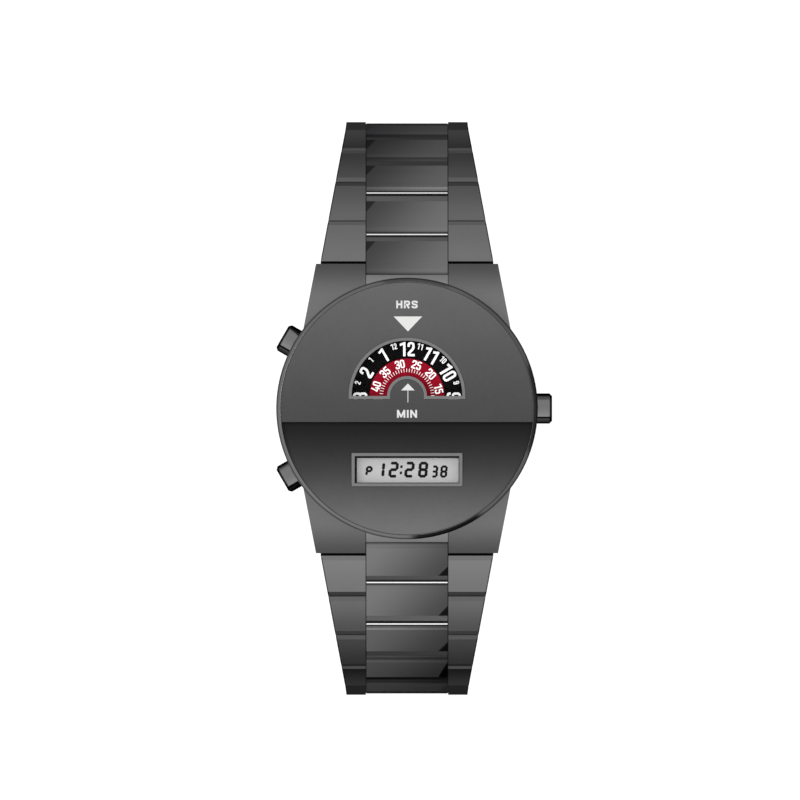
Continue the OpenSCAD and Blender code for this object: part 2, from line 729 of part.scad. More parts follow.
module crown_gasket() color(rubber) crown_axis() translate([0, 0, gasket_x])
    rotate_extrude() translate([crown_tube_r + gasket_r + gasket_gap, 0])
        circle(r = gasket_r, $fn = 32);

module setting_lever() color(steel) difference() {
    block([groove_x + 2 * run_gap, -lever_half, board_top + run_gap],
        [groove_x + groove_len - 2 * run_gap, lever_half, movement_top - lever_sink]);
    translate([groove_x, 0, control_z]) rod(lever_notch_r, 4 * groove_len);
    block([groove_x - over, -lever_notch_r, board_z],
        [groove_x + 2 * groove_len, lever_notch_r, control_z]);
}

module pusher_tubes() color(steel) for (side = [1, -1]) pusher_axis(side)
    translate([0, 0, cavity_r])
        tube(pusher_tube_r, pusher_stem_r + run_gap, pocket_floor + sill_w - cavity_r);

module pusher(side) color(steel) pusher_axis(side) {
    difference() {
        rotate_extrude() polygon([
            [0, clip_start - sill_w], [pusher_stem_r, clip_start - sill_w],
            [pusher_stem_r, pusher_cap_start], [pusher_r, pusher_cap_start],
            [pusher_r, pusher_end_r - control_chamfer],
            [pusher_r - control_chamfer, pusher_end_r], [0, pusher_end_r]]);
        translate([0, 0, pusher_cap_start - over])
            tube(spring_r + spring_wire_r + spring_room, pusher_stem_r,
                pusher_bore_end - pusher_cap_start + over);
        translate([0, 0, clip_start - seat_gap])
            tube(clip_r, pusher_stem_r - clip_groove, pusher_clip_t + 2 * seat_gap);
    }
    translate([0, 0, clip_start])
        tube(clip_r, pusher_stem_r - clip_groove + seat_gap, pusher_clip_t);
}

module upper_pusher() pusher(1);
module lower_pusher() pusher(-1);

// A coil along Z between two heights, as one unbroken six-sided tube
module coil(r, wire_r, turns, low, high) {
    steps = turns * 16;
    sides = 6;
    rise = high - low - 2 * wire_r;
    ring_points = [for (k = [0:steps]) for (j = [0:sides - 1])
        let (turn = 360 * turns * k / steps, a = 360 / sides * j, reach = r + wire_r * cos(a))
        [reach * cos(turn), reach * sin(turn), low + wire_r + rise * k / steps + wire_r * sin(a)]];
    skin = [for (k = [0:steps - 1]) for (j = [0:sides - 1])
        let (a = k * sides + j, b = k * sides + (j + 1) % sides)
        for (t = [[a, b, a + sides], [b, b + sides, a + sides]]) [t[2], t[1], t[0]]];
    caps = [[for (j = [0:sides - 1]) j],
        [for (j = [0:sides - 1]) steps * sides + sides - 1 - j]];
    polyhedron(ring_points, concat(skin, caps));
}

module pusher_spring(side) color("silver") pusher_axis(side)
    coil(spring_r, spring_wire_r, spring_turns, pocket_floor + spring_end_gap,
        pusher_bore_end - spring_end_gap);

module upper_pusher_spring() pusher_spring(1);
module lower_pusher_spring() pusher_spring(-1);

// Bracelet rows, drawn with their own pin at the origin and the next pin along +Y

module centre_link() color(steel) difference() {
    union() {
        across(2 * centre_half) polygon([
            [0, -link_under], [centre_end - tongue_slant, -link_under], [centre_end, 0],
            [centre_end, link_top - bevel_drop], [centre_end - centre_bevel, link_top],
            [tongue_slope, link_top], [0, tongue_r], [0, 0]]);
        rod(link_under, 2 * centre_half);
        upper_roll(tongue_r, 2 * centre_half, socket_gap);
    }
    rod(pin_r + seat_gap, 3 * centre_half);
    translate([0, tie_u, 0]) rod(tie_r + seat_gap, 3 * centre_half);
    translate([0, row_pitch, 0]) rod(socket_r, 3 * centre_half);
    translate([0, row_pitch, 0]) upper_roll(tongue_socket_r, 3 * centre_half, 0);
    block([-bezel_r, row_pitch - socket_r, -2 * link_under], [bezel_r, row_pitch, 0]);
}

module outer_link(near_half, far_half) color(dark_steel) difference() {
    intersection() {
        union() {
            across(2 * bezel_r) polygon([
                [outer_face_start, -link_under], [row_pitch, -link_under], [row_pitch, 0],
                [row_pitch + ear_reach, 0], [row_pitch + ear_reach, link_top - bevel_drop],
                [row_pitch + ear_reach - bevel_len, link_top],
                [outer_face_start + bevel_len, link_top],
                [outer_face_start, link_top - bevel_drop]]);
            intersection() {
                translate([0, row_pitch, 0]) rod(ear_reach, 2 * bezel_r);
                block([-bezel_r, 0, -link_under], [bezel_r, 2 * row_pitch, over]);
            }
        }
        translate([0, 0, -row_pitch]) linear_extrude(2 * row_pitch) polygon([
            [notch_half, 0], [near_half, outer_face_start],
            [far_half, row_pitch + ear_reach], [notch_half, row_pitch + ear_reach]]);
    }
    translate([0, row_pitch, 0]) rod(pin_bore_r, 3 * bezel_r);
    translate([0, tie_u, 0]) rod(tie_r + seat_gap, 2 * (notch_half + tie_reach + run_gap));
}

// One row: the middle link, two outer links, the pin that it turns on and its tie pin
module row(i) {
    near_half = half_at(i, outer_face_start);
    far_half = half_at(i, row_pitch + ear_reach);
    pin_half = (i == 1 ? lug_bore_end : half_at(i - 1, row_pitch + pin_r)) - pin_inset;
    translate([0, pin_y(i), pin_z(i)]) rotate([-tilt(i), 0, 0]) {
        centre_link();
        outer_link(near_half, far_half);
        mirror([1, 0, 0]) outer_link(near_half, far_half);
        color("silver") rod(pin_r, 2 * pin_half);
        color("silver") translate([0, tie_u, 0]) rod(tie_r, 2 * (notch_half + tie_reach));
    }
}

// Clasp

module blade_window() block([-inner_blade_half / 2, -fold_y / 2, clasp_z],
    [inner_blade_half / 2, fold_y / 2, 0]);

module clasp_inner_blade() color(steel) difference() {
    union() {
        block([-inner_blade_half, -end_y, inner_blade_z],
            [inner_blade_half, fold_y - fold_r - hinge_gap, inner_blade_z + blade_t]);
        block([-fold_knuckle_half, 0, inner_blade_z],
            [fold_knuckle_half, fold_y, inner_blade_z + blade_t]);
        translate([0, fold_y, fold_z]) rod(fold_r, 2 * fold_knuckle_half);
        block([-centre_half, -end_y, inner_blade_z],
            [centre_half, tail_len - end_y, inner_blade_z + blade_t]);
        translate([0, -end_y, end_z]) rod(link_under, 2 * centre_half);
    }
    translate([0, fold_y, fold_z]) rod(pin_bore_r, 3 * centre_half);
    translate([0, -end_y, end_z]) rod(pin_r + seat_gap, 3 * centre_half);
    blade_window();
}

module inner_spring_bar() color("silver") translate([0, -end_y, end_z])
    rod(pin_r, 2 * (clasp_half - pin_inset));

module clasp_outer_blade() color(steel) difference() {
    union() {
        block([-blade_half, -fold_y, outer_blade_z], [blade_half, fold_y, outer_blade_z + blade_t]);
        translate([0, -fold_y, cover_fold_z]) rod(fold_r, 2 * blade_half);
        translate([0, fold_y, fold_z]) rod(fold_r, 2 * blade_half);
    }
    block([-fold_knuckle_half - hinge_gap, fold_y - fold_r - hinge_gap, clasp_z],
        [fold_knuckle_half + hinge_gap, end_y, 0]);
    translate([0, fold_y, fold_z]) rod(pin_r + seat_gap, 3 * blade_half);
    translate([0, -fold_y, cover_fold_z]) rod(pin_bore_r, 3 * blade_half);
    blade_window();
}

module fold_pin() color("silver") translate([0, fold_y, fold_z])
    rod(pin_r, 2 * (blade_half - pin_gap));

module clasp_cover() color(steel) difference() {
    union() {
        difference() {
            union() {
                block([-clasp_half, -fold_y, clasp_z], [clasp_half, cover_end_y, wall_top_z]);
                translate([0, -fold_y, cover_fold_z]) rod(cover_ear_r, 2 * clasp_half);
            }
            block([cover_wall - clasp_half, -end_y, cover_top_z],
                [clasp_half - cover_wall, end_y, 0]);
            block([cover_wall - clasp_half, -end_y, clasp_z - over],
                [clasp_half - cover_wall, fold_r + hinge_gap - fold_y, 0]);
        }
        block([-centre_half, cover_end_y - catch_len, end_z - link_top],
            [centre_half, catch_y, end_z + link_under]);
        translate([0, catch_y, end_z]) rod(link_under, 2 * centre_half);
    }
    translate([0, catch_y, end_z]) rod(pin_r + seat_gap, 3 * centre_half);
    translate([0, -fold_y, cover_fold_z]) rod(pin_r + seat_gap, 3 * clasp_half);
}

// The pin of the cover's folding hinge, and the catch's spring bar drawn back into its tongue
module cover_pins() color("silver") {
    translate([0, -fold_y, cover_fold_z]) rod(pin_r, 2 * (clasp_half - pin_gap));
    translate([0, catch_y, end_z]) rod(pin_r, 2 * (centre_half - hinge_gap));
}

case_middle();
case_back();
case_back_gasket();
case_back_screws();
bezel_ring();
face_gasket();
face_plate();
arch_frame();
lcd_frame();
arch_crystal();
lcd_crystal();
movement_ring();
circuit_board();
battery();
battery_clip();
analog_movement();
stepper_coil();
zebra_strips();
lcd_panel();
cannon_pinion();
minute_wheel();
hour_wheel();
minute_disc();
hour_disc();
crown_tube();
crown();
setting_stem();
crown_gasket();
setting_lever();
pusher_tubes();
upper_pusher();
lower_pusher();
upper_pusher_spring();
lower_pusher_spring();
clasp_inner_blade();
inner_spring_bar();
clasp_outer_blade();
fold_pin();
clasp_cover();
cover_pins();
for (i = [1:row_count]) row(i);
for (i = [1:row_count]) rotate([0, 0, 180]) row(i);
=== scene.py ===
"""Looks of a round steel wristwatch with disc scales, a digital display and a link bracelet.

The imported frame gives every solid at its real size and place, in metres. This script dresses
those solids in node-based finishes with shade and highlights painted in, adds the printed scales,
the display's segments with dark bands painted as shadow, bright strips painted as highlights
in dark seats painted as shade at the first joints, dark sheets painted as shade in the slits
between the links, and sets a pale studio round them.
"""
from __future__ import annotations

import json
import logging
import math
import sys
from dataclasses import dataclass, field
from enum import Enum
from typing import Callable

import bpy
import numpy as np
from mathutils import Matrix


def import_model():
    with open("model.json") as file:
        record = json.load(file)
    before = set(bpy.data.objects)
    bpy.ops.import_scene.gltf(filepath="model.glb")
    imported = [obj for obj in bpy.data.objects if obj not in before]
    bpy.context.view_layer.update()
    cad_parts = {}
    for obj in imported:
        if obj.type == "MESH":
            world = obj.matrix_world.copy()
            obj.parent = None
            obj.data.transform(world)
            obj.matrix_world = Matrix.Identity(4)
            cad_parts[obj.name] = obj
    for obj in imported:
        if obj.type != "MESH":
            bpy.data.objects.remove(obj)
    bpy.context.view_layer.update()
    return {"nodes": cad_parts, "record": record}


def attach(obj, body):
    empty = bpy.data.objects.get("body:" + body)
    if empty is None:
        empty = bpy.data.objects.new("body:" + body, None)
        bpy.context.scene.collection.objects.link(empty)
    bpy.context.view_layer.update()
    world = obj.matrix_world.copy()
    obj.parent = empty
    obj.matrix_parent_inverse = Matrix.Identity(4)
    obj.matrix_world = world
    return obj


LOG = logging.getLogger("watch")
MM = 0.001
BUMP_DEPTH = 0.02 * MM
BEVEL_SAMPLES = 4
SOFT, FINE = 2.0, 3.0
CORNER_STEPS = 7
MOST_CUT = 0.49
LEAST_COSINE = 0.5
SQUARE = np.array([[-1, -1], [1, -1], [1, 1], [-1, 1]])

Material = bpy.types.Material
Pair = tuple[float, float]
Triple = tuple[float, float, float]
Colour = Triple
# Two places in mm, and the values that hold up to the first and from the second on
Fade = tuple[float, float, float, float]


# Shader maths


def operation(kind: str, flipped: bool = False) -> Callable[..., Sock]:
    """A method that adds one Math node.

    Args:
        kind: The node's operation.
        flipped: Whether the other value comes first.

    Returns:
        The method, which takes the other value where the operation has two.
    """
    def method(self: Sock, *other: Sock | float) -> Sock:
        """Adds the node."""
        values = (*other, self) if flipped else (self, *other)
        return self.graph.node("ShaderNodeMath", {"operation": kind}, dict(enumerate(values)))
    return method


class Sock:
    """A node's output that takes part in Python arithmetic.

    above() and below() give 1 where they hold, else 0, and angle_from() gives the angle of the
    point (other, this) round the origin, in radians.
    """

    __add__ = __radd__ = operation("ADD")
    __sub__ = operation("SUBTRACT")
    __rsub__ = operation("SUBTRACT", flipped=True)
    __mul__ = __rmul__ = operation("MULTIPLY")
    __truediv__ = operation("DIVIDE")
    __abs__ = operation("ABSOLUTE")
    power = operation("POWER")
    larger = operation("MAXIMUM")
    above = operation("GREATER_THAN")
    below = operation("LESS_THAN")
    angle_from = operation("ARCTAN2")

    def __init__(self, graph: Graph, socket: bpy.types.NodeSocket) -> None:
        """Keeps the output and the graph that it belongs to."""
        self.graph = graph
        self.socket = socket

    def ramp(self, low: float, high: float, start: float = 0.0, end: float = 1.0) -> Sock:
        """A smooth step.

        Args:
            low: The value at which the step starts.
            high: The value at which it ends.
            start: What comes out at low and before it.
            end: What comes out at high and after it.

        Returns:
            The stepped value.
        """
        settings = {"interpolation_type": "SMOOTHSTEP"}
        return self.graph.node("ShaderNodeMapRange", settings,
                               {0: self, 1: low, 2: high, 3: start, 4: end})

    def fade(self, fade: Fade) -> Sock:
        """A smooth step of a distance in metres, between two places in mm."""
        low, high, start, end = fade
        return self.ramp(low * MM, high * MM, start, end)

    def swing(self, width: float) -> Sock:
        """Noise of 0 to 1 as a swing of this width round 0."""
        return (self - 0.5) * width


class Graph:
    """A node tree that starts empty."""

    def __init__(self, tree: bpy.types.NodeTree) -> None:
        """Empties the tree."""
        self.tree = tree
        tree.nodes.clear()

    def node(self, kind: str, settings: dict, inputs: dict,
             output: int | str = 0) -> Sock | None:
        """Adds a node.

        Args:
            kind: The node's type.
            settings: Attributes to set first. The key "stops" fills a colour ramp.
            inputs: Values or links, by the socket's name or number.
            output: The output that is wanted.

        Returns:
            That output, or None from a node that has none.
        """
        made = self.tree.nodes.new(kind)
        for name, value in settings.items():
            if name == "stops":
                elements = made.color_ramp.elements
                for _ in value[len(elements):]:
                    elements.new(0.5)
                for element, (place, grey) in zip(elements, value):
                    element.position, element.color = place, (grey, grey, grey, 1)
            else:
                setattr(made, name, value)
        for key, value in inputs.items():
            socket = made.inputs[key]
            if isinstance(value, Sock):
                self.tree.links.new(value.socket, socket)
            elif isinstance(value, tuple) and len(value) == 3 and socket.type == "RGBA":
                socket.default_value = (*value, 1)
            else:
                socket.default_value = value
        return Sock(self, made.outputs[output]) if made.outputs else None

    def place(self) -> Sock:
        """The point on the object, in the frame of the watch."""
        return self.node("ShaderNodeTexCoord", {}, {}, "Object")

    def split(self, vector: Sock) -> tuple[Sock, Sock, Sock]:
        """Takes a vector apart.

        Args:
            vector: The vector.

        Returns:
            Its x, y and z.
        """
        parts = self.node("ShaderNodeSeparateXYZ", {}, {0: vector})
        outputs = parts.socket.node.outputs
        return tuple(Sock(self, outputs[k]) for k in range(3))

    def join(self, x: Sock | float, y: Sock | float, z: Sock | float) -> Sock:
        """A vector from three values."""
        return self.node("ShaderNodeCombineXYZ", {}, {0: x, 1: y, 2: z})

    def noise(self, vector: Sock, scale: float, detail: float = SOFT) -> Sock:
        """Soft random values from 0 to 1."""
        return self.node("ShaderNodeTexNoise", {"noise_dimensions": "3D"},
                         {"Vector": vector, "Scale": scale, "Detail": detail}, "Fac")

    def shade(self, colour: Colour, factor: Sock) -> Sock:
        """A colour that changes over the surface.

        Args:
            colour: The colour.
            factor: The value that it is multiplied by.

        Returns:
            The changed colour.
        """
        grey = self.node("ShaderNodeCombineColor", {}, {0: factor, 1: factor, 2: factor})
        return self.node("ShaderNodeMix", {"data_type": "RGBA", "blend_type": "MULTIPLY",
                                           "clamp_result": False},
                         {0: 1.0, 6: (*colour, 1), 7: grey}, 2)

    def blend(self, factor: Sock, first: Sock | Colour, second: Sock | Colour) -> Sock:
        """Mixes two colours.

        Args:
            factor: 0 where the first colour shows and 1 where the second does.
            first: The first colour.
            second: The second colour.

        Returns:
            The mixed colour.
        """
        ends = [c if isinstance(c, Sock) else (*c, 1) for c in (first, second)]
        return self.node("ShaderNodeMix", {"data_type": "RGBA"},
                         {0: factor, 6: ends[0], 7: ends[1]}, 2)

    def bump(self, height: Sock, strength: float, edge: float = 0.0) -> Sock:
        """A fine bump, over edges that a bevel rounds.

        Args:
            height: The pattern that stands up.
            strength: How strong it is.
            edge: The bevel's radius in mm, or 0 for none.

        Returns:
            The normal.
        """
        inputs = {"Height": height, "Strength": strength, "Distance": BUMP_DEPTH}
        if edge:
            inputs["Normal"] = self.node("ShaderNodeBevel", {"samples": BEVEL_SAMPLES},
                                         {"Radius": edge * MM})
        return self.node("ShaderNodeBump", {}, inputs)

    def finish(self, shader: Sock) -> None:
        """Sends a shader to the material's output."""
        self.node("ShaderNodeOutputMaterial", {}, {"Surface": shader})


def new_material(name: str) -> tuple[Material, Graph]:
    """Starts a node-based material.

    Args:
        name: Its name.

    Returns:
        The material and its node tree, which is still empty.
    """
    made = bpy.data.materials.new(name)
    made.use_nodes = True
    return made, Graph(made.node_tree)


def add_object(name: str, data: bpy.types.ID) -> bpy.types.Object:
    """Puts a new object into the scene, at the origin.

    Args:
        name: Its name.
        data: Its mesh, light or camera.

    Returns:
        The object.
    """
    made = bpy.data.objects.new(name, data)
    bpy.context.scene.collection.objects.link(made)
    return made


# Finishes


class Grain(Enum):
    """The way that a metal's fine brushing runs."""

    ALONG_X = (40.0, 2200.0, 2200.0)
    ALONG_Z = (2200.0, 2200.0, 40.0)
    BLASTED = (1500.0, 1500.0, 1500.0)


class Grading(Enum):
    """Where shade and highlights are painted into a metal's colour over the watch."""

    EVEN = "even"
    CASE = "case"
    DECKS = "decks"
    CONTROLS = "controls"
    RIM = "rim"


@dataclass(frozen=True)
class CapWear:
    """Where shade and dark reflections are painted on the caps of the crown and the pushers.

    Places over a cap are shares of its radius from its middle line, and sizes are in mm.
    """

    radius: float = 2.28
    end: float = 21.66
    crown_extra: float = 0.2
    lean: Pair = (0.866, 0.5)
    line_start: Pair = (-0.70, -0.67)
    line_end: Pair = (-0.54, -0.57)
    low: Pair = (-0.66, -0.70)
    high: Pair = (0.66, 0.90)
    losses: tuple[float, ...] = (0.93, 0.55, 0.88, 0.80)

    def depth(self, x: Sock, y: Sock) -> Sock:
        """The painted shade on a cap.

        Each cap has a dark band painted at its outer end, and dark reflections painted as lines
        along
        it: a wide one towards twelve o'clock and a thin one towards six.

        Args:
            x: Distance towards three o'clock from the middle of the case.
            y: Distance towards twelve o'clock.

        Returns:
            The factor.
        """
        crown, upper = x.above(0.0), y.above(0.0) * 2 - 1
        cos, sin = self.lean
        along = crown * x + (1 - crown) * (abs(y) * sin - x * cos)
        over = crown * y + (1 - crown) * (y * cos + x * upper * sin)
        over = over * (1 / (self.radius * MM))
        line = over.ramp(*self.line_start) * over.ramp(*self.line_end)
        end = (along - crown * self.crown_extra * MM).above(self.end * MM)
        # Painted dark reflections: a thin line, a band on each flank and a band at the outer end.
        depth = 1.0
        for dark, loss in zip((line, over.ramp(*self.low), over.ramp(*self.high), end),
                              self.losses):
            depth = (1 - dark * loss) * depth
        return depth


@dataclass(frozen=True)
class Metal:
    """A plated or plain metal with fine brushing, and shade and highlights painted into its
    colour. Places on the watch are in mm.
    """

    name: str
    colour: Colour
    roughness: float = 0.34
    grain: Grain = Grain.ALONG_X
    grading: Grading = Grading.EVEN
    bump: float = 0.06
    mottle: float = 0.10
    edge: float = 0.07
    rim_tint: Colour = (0.5, 0.5, 0.5)
    cloud_scale: float = 180.0
    rough_swings: Pair = (0.10, 0.05)
    # Painted shade on the case: the shoulders darken towards their outer ends, the half towards
    # twelve is painted lighter, the top panel between the lugs is painted lighter, and a dark
    # line of painted shade runs along its sides.
    shoulder: Fade = (17.0, 22.6, 1.30, 0.58)
    six_to_twelve: Fade = (-1.0, 1.0, 1.0, 1.14)
    panel_half: float = 6.25
    seam: float = 0.13
    panel_gain: float = 0.75
    seam_loss: float = 0.5
    # Painted shade on the face: the upper deck lightens towards twelve, and the lower deck is
    # painted darkest just under the step and lightens towards six.
    step_y: float = -2.07
    upper_deck: Fade = (-8.0, 30.0, 0.52, 1.19)
    lower_deck: Fade = (-21.0, -6.0, 1.36, 0.30)
    under_step: Fade = (-8.0, -2.5, 0.0, -0.155)
    # Painted shade on the bezel: a dark band round its outer top edge, and a rim that darkens
    # towards three o'clock.
    rim_z: float = 9.95
    rim_edge: Fade = (19.70, 19.84, 0.0, 0.6)
    rim_side: Fade = (3.0, 14.0, 0.86, 0.52)

    def _graded(self, x: Sock, y: Sock, z: Sock) -> Sock | float:
        """The shade and highlights painted into the plating's colour at a point.

        Args:
            x: Distance towards three o'clock from the middle of the case.
            y: Distance towards twelve o'clock.
            z: Height above the back.

        Returns:
            The factor on the plating's colour.
        """
        # Case: painted shade on the shoulders, a lighter half towards twelve, a lighter panel and
        # a painted shade line beside it.
        if self.grading is Grading.CASE:
            ahead = abs(y).above(self.shoulder[0] * MM)
            panel = ahead * abs(x).below(self.panel_half * MM)
            seam = ahead * abs(x).below((self.panel_half + self.seam) * MM) - panel
            tone = 1 + panel * self.panel_gain - seam * self.seam_loss
            return abs(y).fade(self.shoulder) * y.fade(self.six_to_twelve) * tone
        # Face: painted shade, darkest on the lower deck just under the step.
        if self.grading is Grading.DECKS:
            upper = y.above(self.step_y * MM)
            lower = y.fade(self.lower_deck) + y.fade(self.under_step)
            return y.fade(self.upper_deck) * upper + lower * (1 - upper)
        # Caps: painted dark reflections.
        if self.grading is Grading.CONTROLS:
            return CapWear().depth(x, y)
        # Bezel: painted shade round the outer top edge and towards three o'clock.
        if self.grading is Grading.RIM:
            painted_rim_shade = (x * x + y * y).power(0.5).fade(self.rim_edge) * z.above(self.rim_z * MM)
            return (1 - painted_rim_shade) * x.fade(self.rim_side)
        return 1.0

    def material(self) -> Material:
        """Builds the material.

        Returns:
            The node-based material: colour with shade and highlights painted in over the watch,
            roughness broken up by the brushing, and edges rounded by a bevel under a fine bump.
        """
        made, graph = new_material(self.name)
        place = graph.place()
        streaks = graph.noise(graph.node("ShaderNodeMapping", {}, {
            "Vector": place, "Scale": self.grain.value}), 1.0, FINE)
        cloud = graph.noise(place, self.cloud_scale)
        depth = 1 + streaks.swing(self.mottle) + cloud.swing(self.mottle)
        # The mottle is the plating's own random tone; the factor on it paints shade and
        # highlights.
        depth = depth * self._graded(*graph.split(place))
        by_streaks, by_cloud = self.rough_swings
        graph.finish(graph.node("ShaderNodeBsdfPrincipled", {}, {
            "Base Color": graph.shade(self.colour, depth), "Metallic": 1.0,
            "Specular Tint": (*self.rim_tint, 1.0),
            "Roughness": self.roughness + streaks.swing(by_streaks) + cloud.swing(by_cloud),
            "Normal": graph.bump(streaks, self.bump, self.edge)}))
        return made


@dataclass(frozen=True)
class RowDepth:
    """The shade and highlights painted into one row, part by part."""

    middle: float
    middle_bevel: float
    wedge_len: float
    wedge_depth: float
    outer: Pair
    outer_bevel: float = 1.0
    outer_near: float = 0.88


@dataclass(frozen=True)
class LinkMetal:
    """The plating of one bracelet row with its painted shade and highlights, worked out in mm in
    the row's own frame.
    """

    name: str
    colour: Colour
    pin: Pair
    tilt: float
    side: int
    edge_places: Pair
    edges: Pair
    depths: RowDepth
    centre_half: float = 6.24
    column_gap: float = 0.08
    flat_end: float = 4.86
    pin_r: float = 0.51
    tie_r: float = 0.41
    tie_u: float = 3.86
    # The fields from here to the outer bevels place and size painted shade and highlights: a dark
    # reflection in the corner, a diagonal sheen, and shade at the socket and along the sides.
    wedge_wide: float = 1.45
    wedge_edge: Pair = (0.93, 1.07)
    sheen_lean: Pair = (0.8, 0.75)
    sheen: Fade = (-8.7, 4.7, 0.46, 1.34)
    socket: Fade = (-0.55, 0.0, 0.35, 1.0)
    side_line: Fade = (0.10, 0.25, 0.75, 0.0)
    side_line_foot: float = 1.33
    outer_span: Pair = (1.8, 7.6)
    outer_bevels: Pair = (2.34, 7.46)
    # A dark line of painted shade in the slits between the middle and outer links.
    crack_half: float = 0.07
    crack_loss: float = 0.6
    pin_colour: Colour = (0.30, 0.30, 0.31)
    rim_tint: Colour = (0.40, 0.40, 0.41)
    roughness: float = 0.30
    outer_rougher: float = 0.06
    rough_swing: float = 0.10
    streak_scale: Triple = (0.05, 2.4, 2.4)
    cloud_scale: float = 260.0
    mottles: Pair = (0.08, 0.06)
    bump: float = 0.06
    edge: float = 0.05

    def _depth(self, across: Sock, u: Sock, v: Sock, middle: Sock) -> Sock:
        """The painted shade and highlights at a point, as a factor on the plating's colour.

        The middle link has a painted sheen along one diagonal, a painted dark reflection in a
        small corner at its far end, and painted shade at its socket and on its far bevel. The
        outer links have painted shade along them, on their bevels and in a thin line along their
        bevelled sides.

        Args:
            across: Distance from the row's middle, to the right of the way that it leads.
            u: Distance along the row from its own pin.
            v: Height above the pin, square to the row.
            middle: 1 on the middle link.

        Returns:
            The factor.
        """
        row = self.depths
        # All of this is painted light: a dark reflection in the far corner, a diagonal sheen,
        # shade at the socket, the bevels and the sides, and levels set row by row.
        edge = ((across + self.centre_half) * (1 / self.wedge_wide)).larger(0.0)
        end = ((self.flat_end - u) * (1 / row.wedge_len)).larger(0.0)
        wedge = (edge + end).ramp(*self.wedge_edge, row.wedge_depth, 0.0)
        sheen = (across * self.sheen_lean[0] - u * self.sheen_lean[1]).ramp(*self.sheen)
        bevelled = u.above(self.flat_end)
        inner = (sheen * (1 - wedge) * (1 - bevelled) * row.middle
                 + bevelled * row.middle_bevel) * u.ramp(*self.socket)
        (near, far), (near_half, far_half) = self.edge_places, self.edges
        side = (u - near) * ((far_half - near_half) / (far - near)) + near_half - abs(across)
        line = side.ramp(*self.side_line) * v.above(self.side_line_foot)
        near_bevel, far_bevel = u.below(self.outer_bevels[0]), u.above(self.outer_bevels[1])
        outer = (u.ramp(*self.outer_span, *row.outer) * (1 - line)
                 * (1 - near_bevel * (1 - row.outer_near))
                 * (1 - far_bevel * (1 - row.outer_bevel)))
        # Painted shade in the slits between the middle and outer links.
        slit_shade = abs(abs(across) - (self.centre_half + self.column_gap / 2)).below(self.crack_half)
        return (inner * middle + outer * (1 - middle)) * (1 - slit_shade * self.crack_loss)

    def material(self) -> Material:
        """Builds the material.

        Returns:
            The material: plain pins, and satin outer links and a darker, smoother middle link
                with painted shade and highlights.
        """
        made, graph = new_material(self.name)
        place = graph.place()
        x, y, z = graph.split(place)
        cos, sin = math.cos(self.tilt), math.sin(self.tilt)
        across = x * (self.side / MM)
        ahead = y * (self.side / MM) - self.pin[0]
        up = z / MM - self.pin[1]
        u = ahead * cos - up * sin
        v = ahead * sin + up * cos

        pin = (u * u + v * v).below(self.pin_r ** 2)
        tie_ahead = u - self.tie_u
        tie = (tie_ahead * tie_ahead + v * v).below(self.tie_r ** 2)
        shown = abs(across).above(self.centre_half + 2 * self.column_gap)
        bright = pin.larger(tie) * shown
        middle = 1 - abs(across).above(self.centre_half + self.column_gap / 4)

        scale = self.streak_scale
        stretched = graph.join(across * scale[0], u * scale[1], v * scale[2])
        streaks = graph.noise(stretched, 1.0, FINE)
        cloud = graph.noise(place, self.cloud_scale)
        mottle = 1 + streaks.swing(self.mottles[0]) + cloud.swing(self.mottles[1])
        # The plating's colour times its painted shade and highlights and its own random mottle.
        plating = graph.shade(self.colour, self._depth(across, u, v, middle) * mottle)
        rougher = (1 - middle) * self.outer_rougher + streaks.swing(self.rough_swing)
        graph.finish(graph.node("ShaderNodeBsdfPrincipled", {}, {
            "Base Color": graph.blend(bright, plating, self.pin_colour),
            "Metallic": 1.0, "Specular Tint": (*self.rim_tint, 1.0),
            "Roughness": self.roughness + rougher,
            "Normal": graph.bump(streaks, self.bump, self.edge)}))
        return made


@dataclass(frozen=True)
class Coating:
    """A non-metal surface: print, lacquer, plastic or rubber."""

    name: str
    colour: Colour
    roughness: float = 0.5
    mottle: float = 0.06
    scale: float = 900.0
    bump: float = 0.05
    spun: bool = False
    axis_y: float = 1.92
    ring_scales: Pair = (9000.0, 60.0)
    rough_swing: float = 0.08
    coat: float = 0.0
    coat_roughness: float = 0.08
    specular: float = 0.5
    # A painted glow: emission that lightens the surface though it is no lamp; 0 for none.
    glow: float = 0.0

    def material(self) -> Material:
        """Builds the material.

        Returns:
            The material, mottled, or with fine turned rings where it is spun on a disc.
        """
        made, graph = new_material(self.name)
        place = graph.place()
        if self.spun:
            x, y, _ = graph.split(place)
            ahead = y - self.axis_y * MM
            radius = (x * x + ahead * ahead).power(0.5)
            out, round_it = self.ring_scales
            grains = graph.noise(graph.join(radius * out, x * round_it, ahead * round_it), 1.0)
        else:
            grains = graph.noise(place, self.scale, FINE)
        graph.finish(graph.node("ShaderNodeBsdfPrincipled", {}, {
            "Base Color": graph.shade(self.colour, 1 + grains.swing(self.mottle)),
            "Roughness": self.roughness + grains.swing(self.rough_swing),
            "Specular IOR Level": self.specular,
            "Emission Color": (*self.colour, 1), "Emission Strength": self.glow,
            "Coat Weight": self.coat, "Coat Roughness": self.coat_roughness,
            "Normal": graph.bump(grains, self.bump)}))
        return made


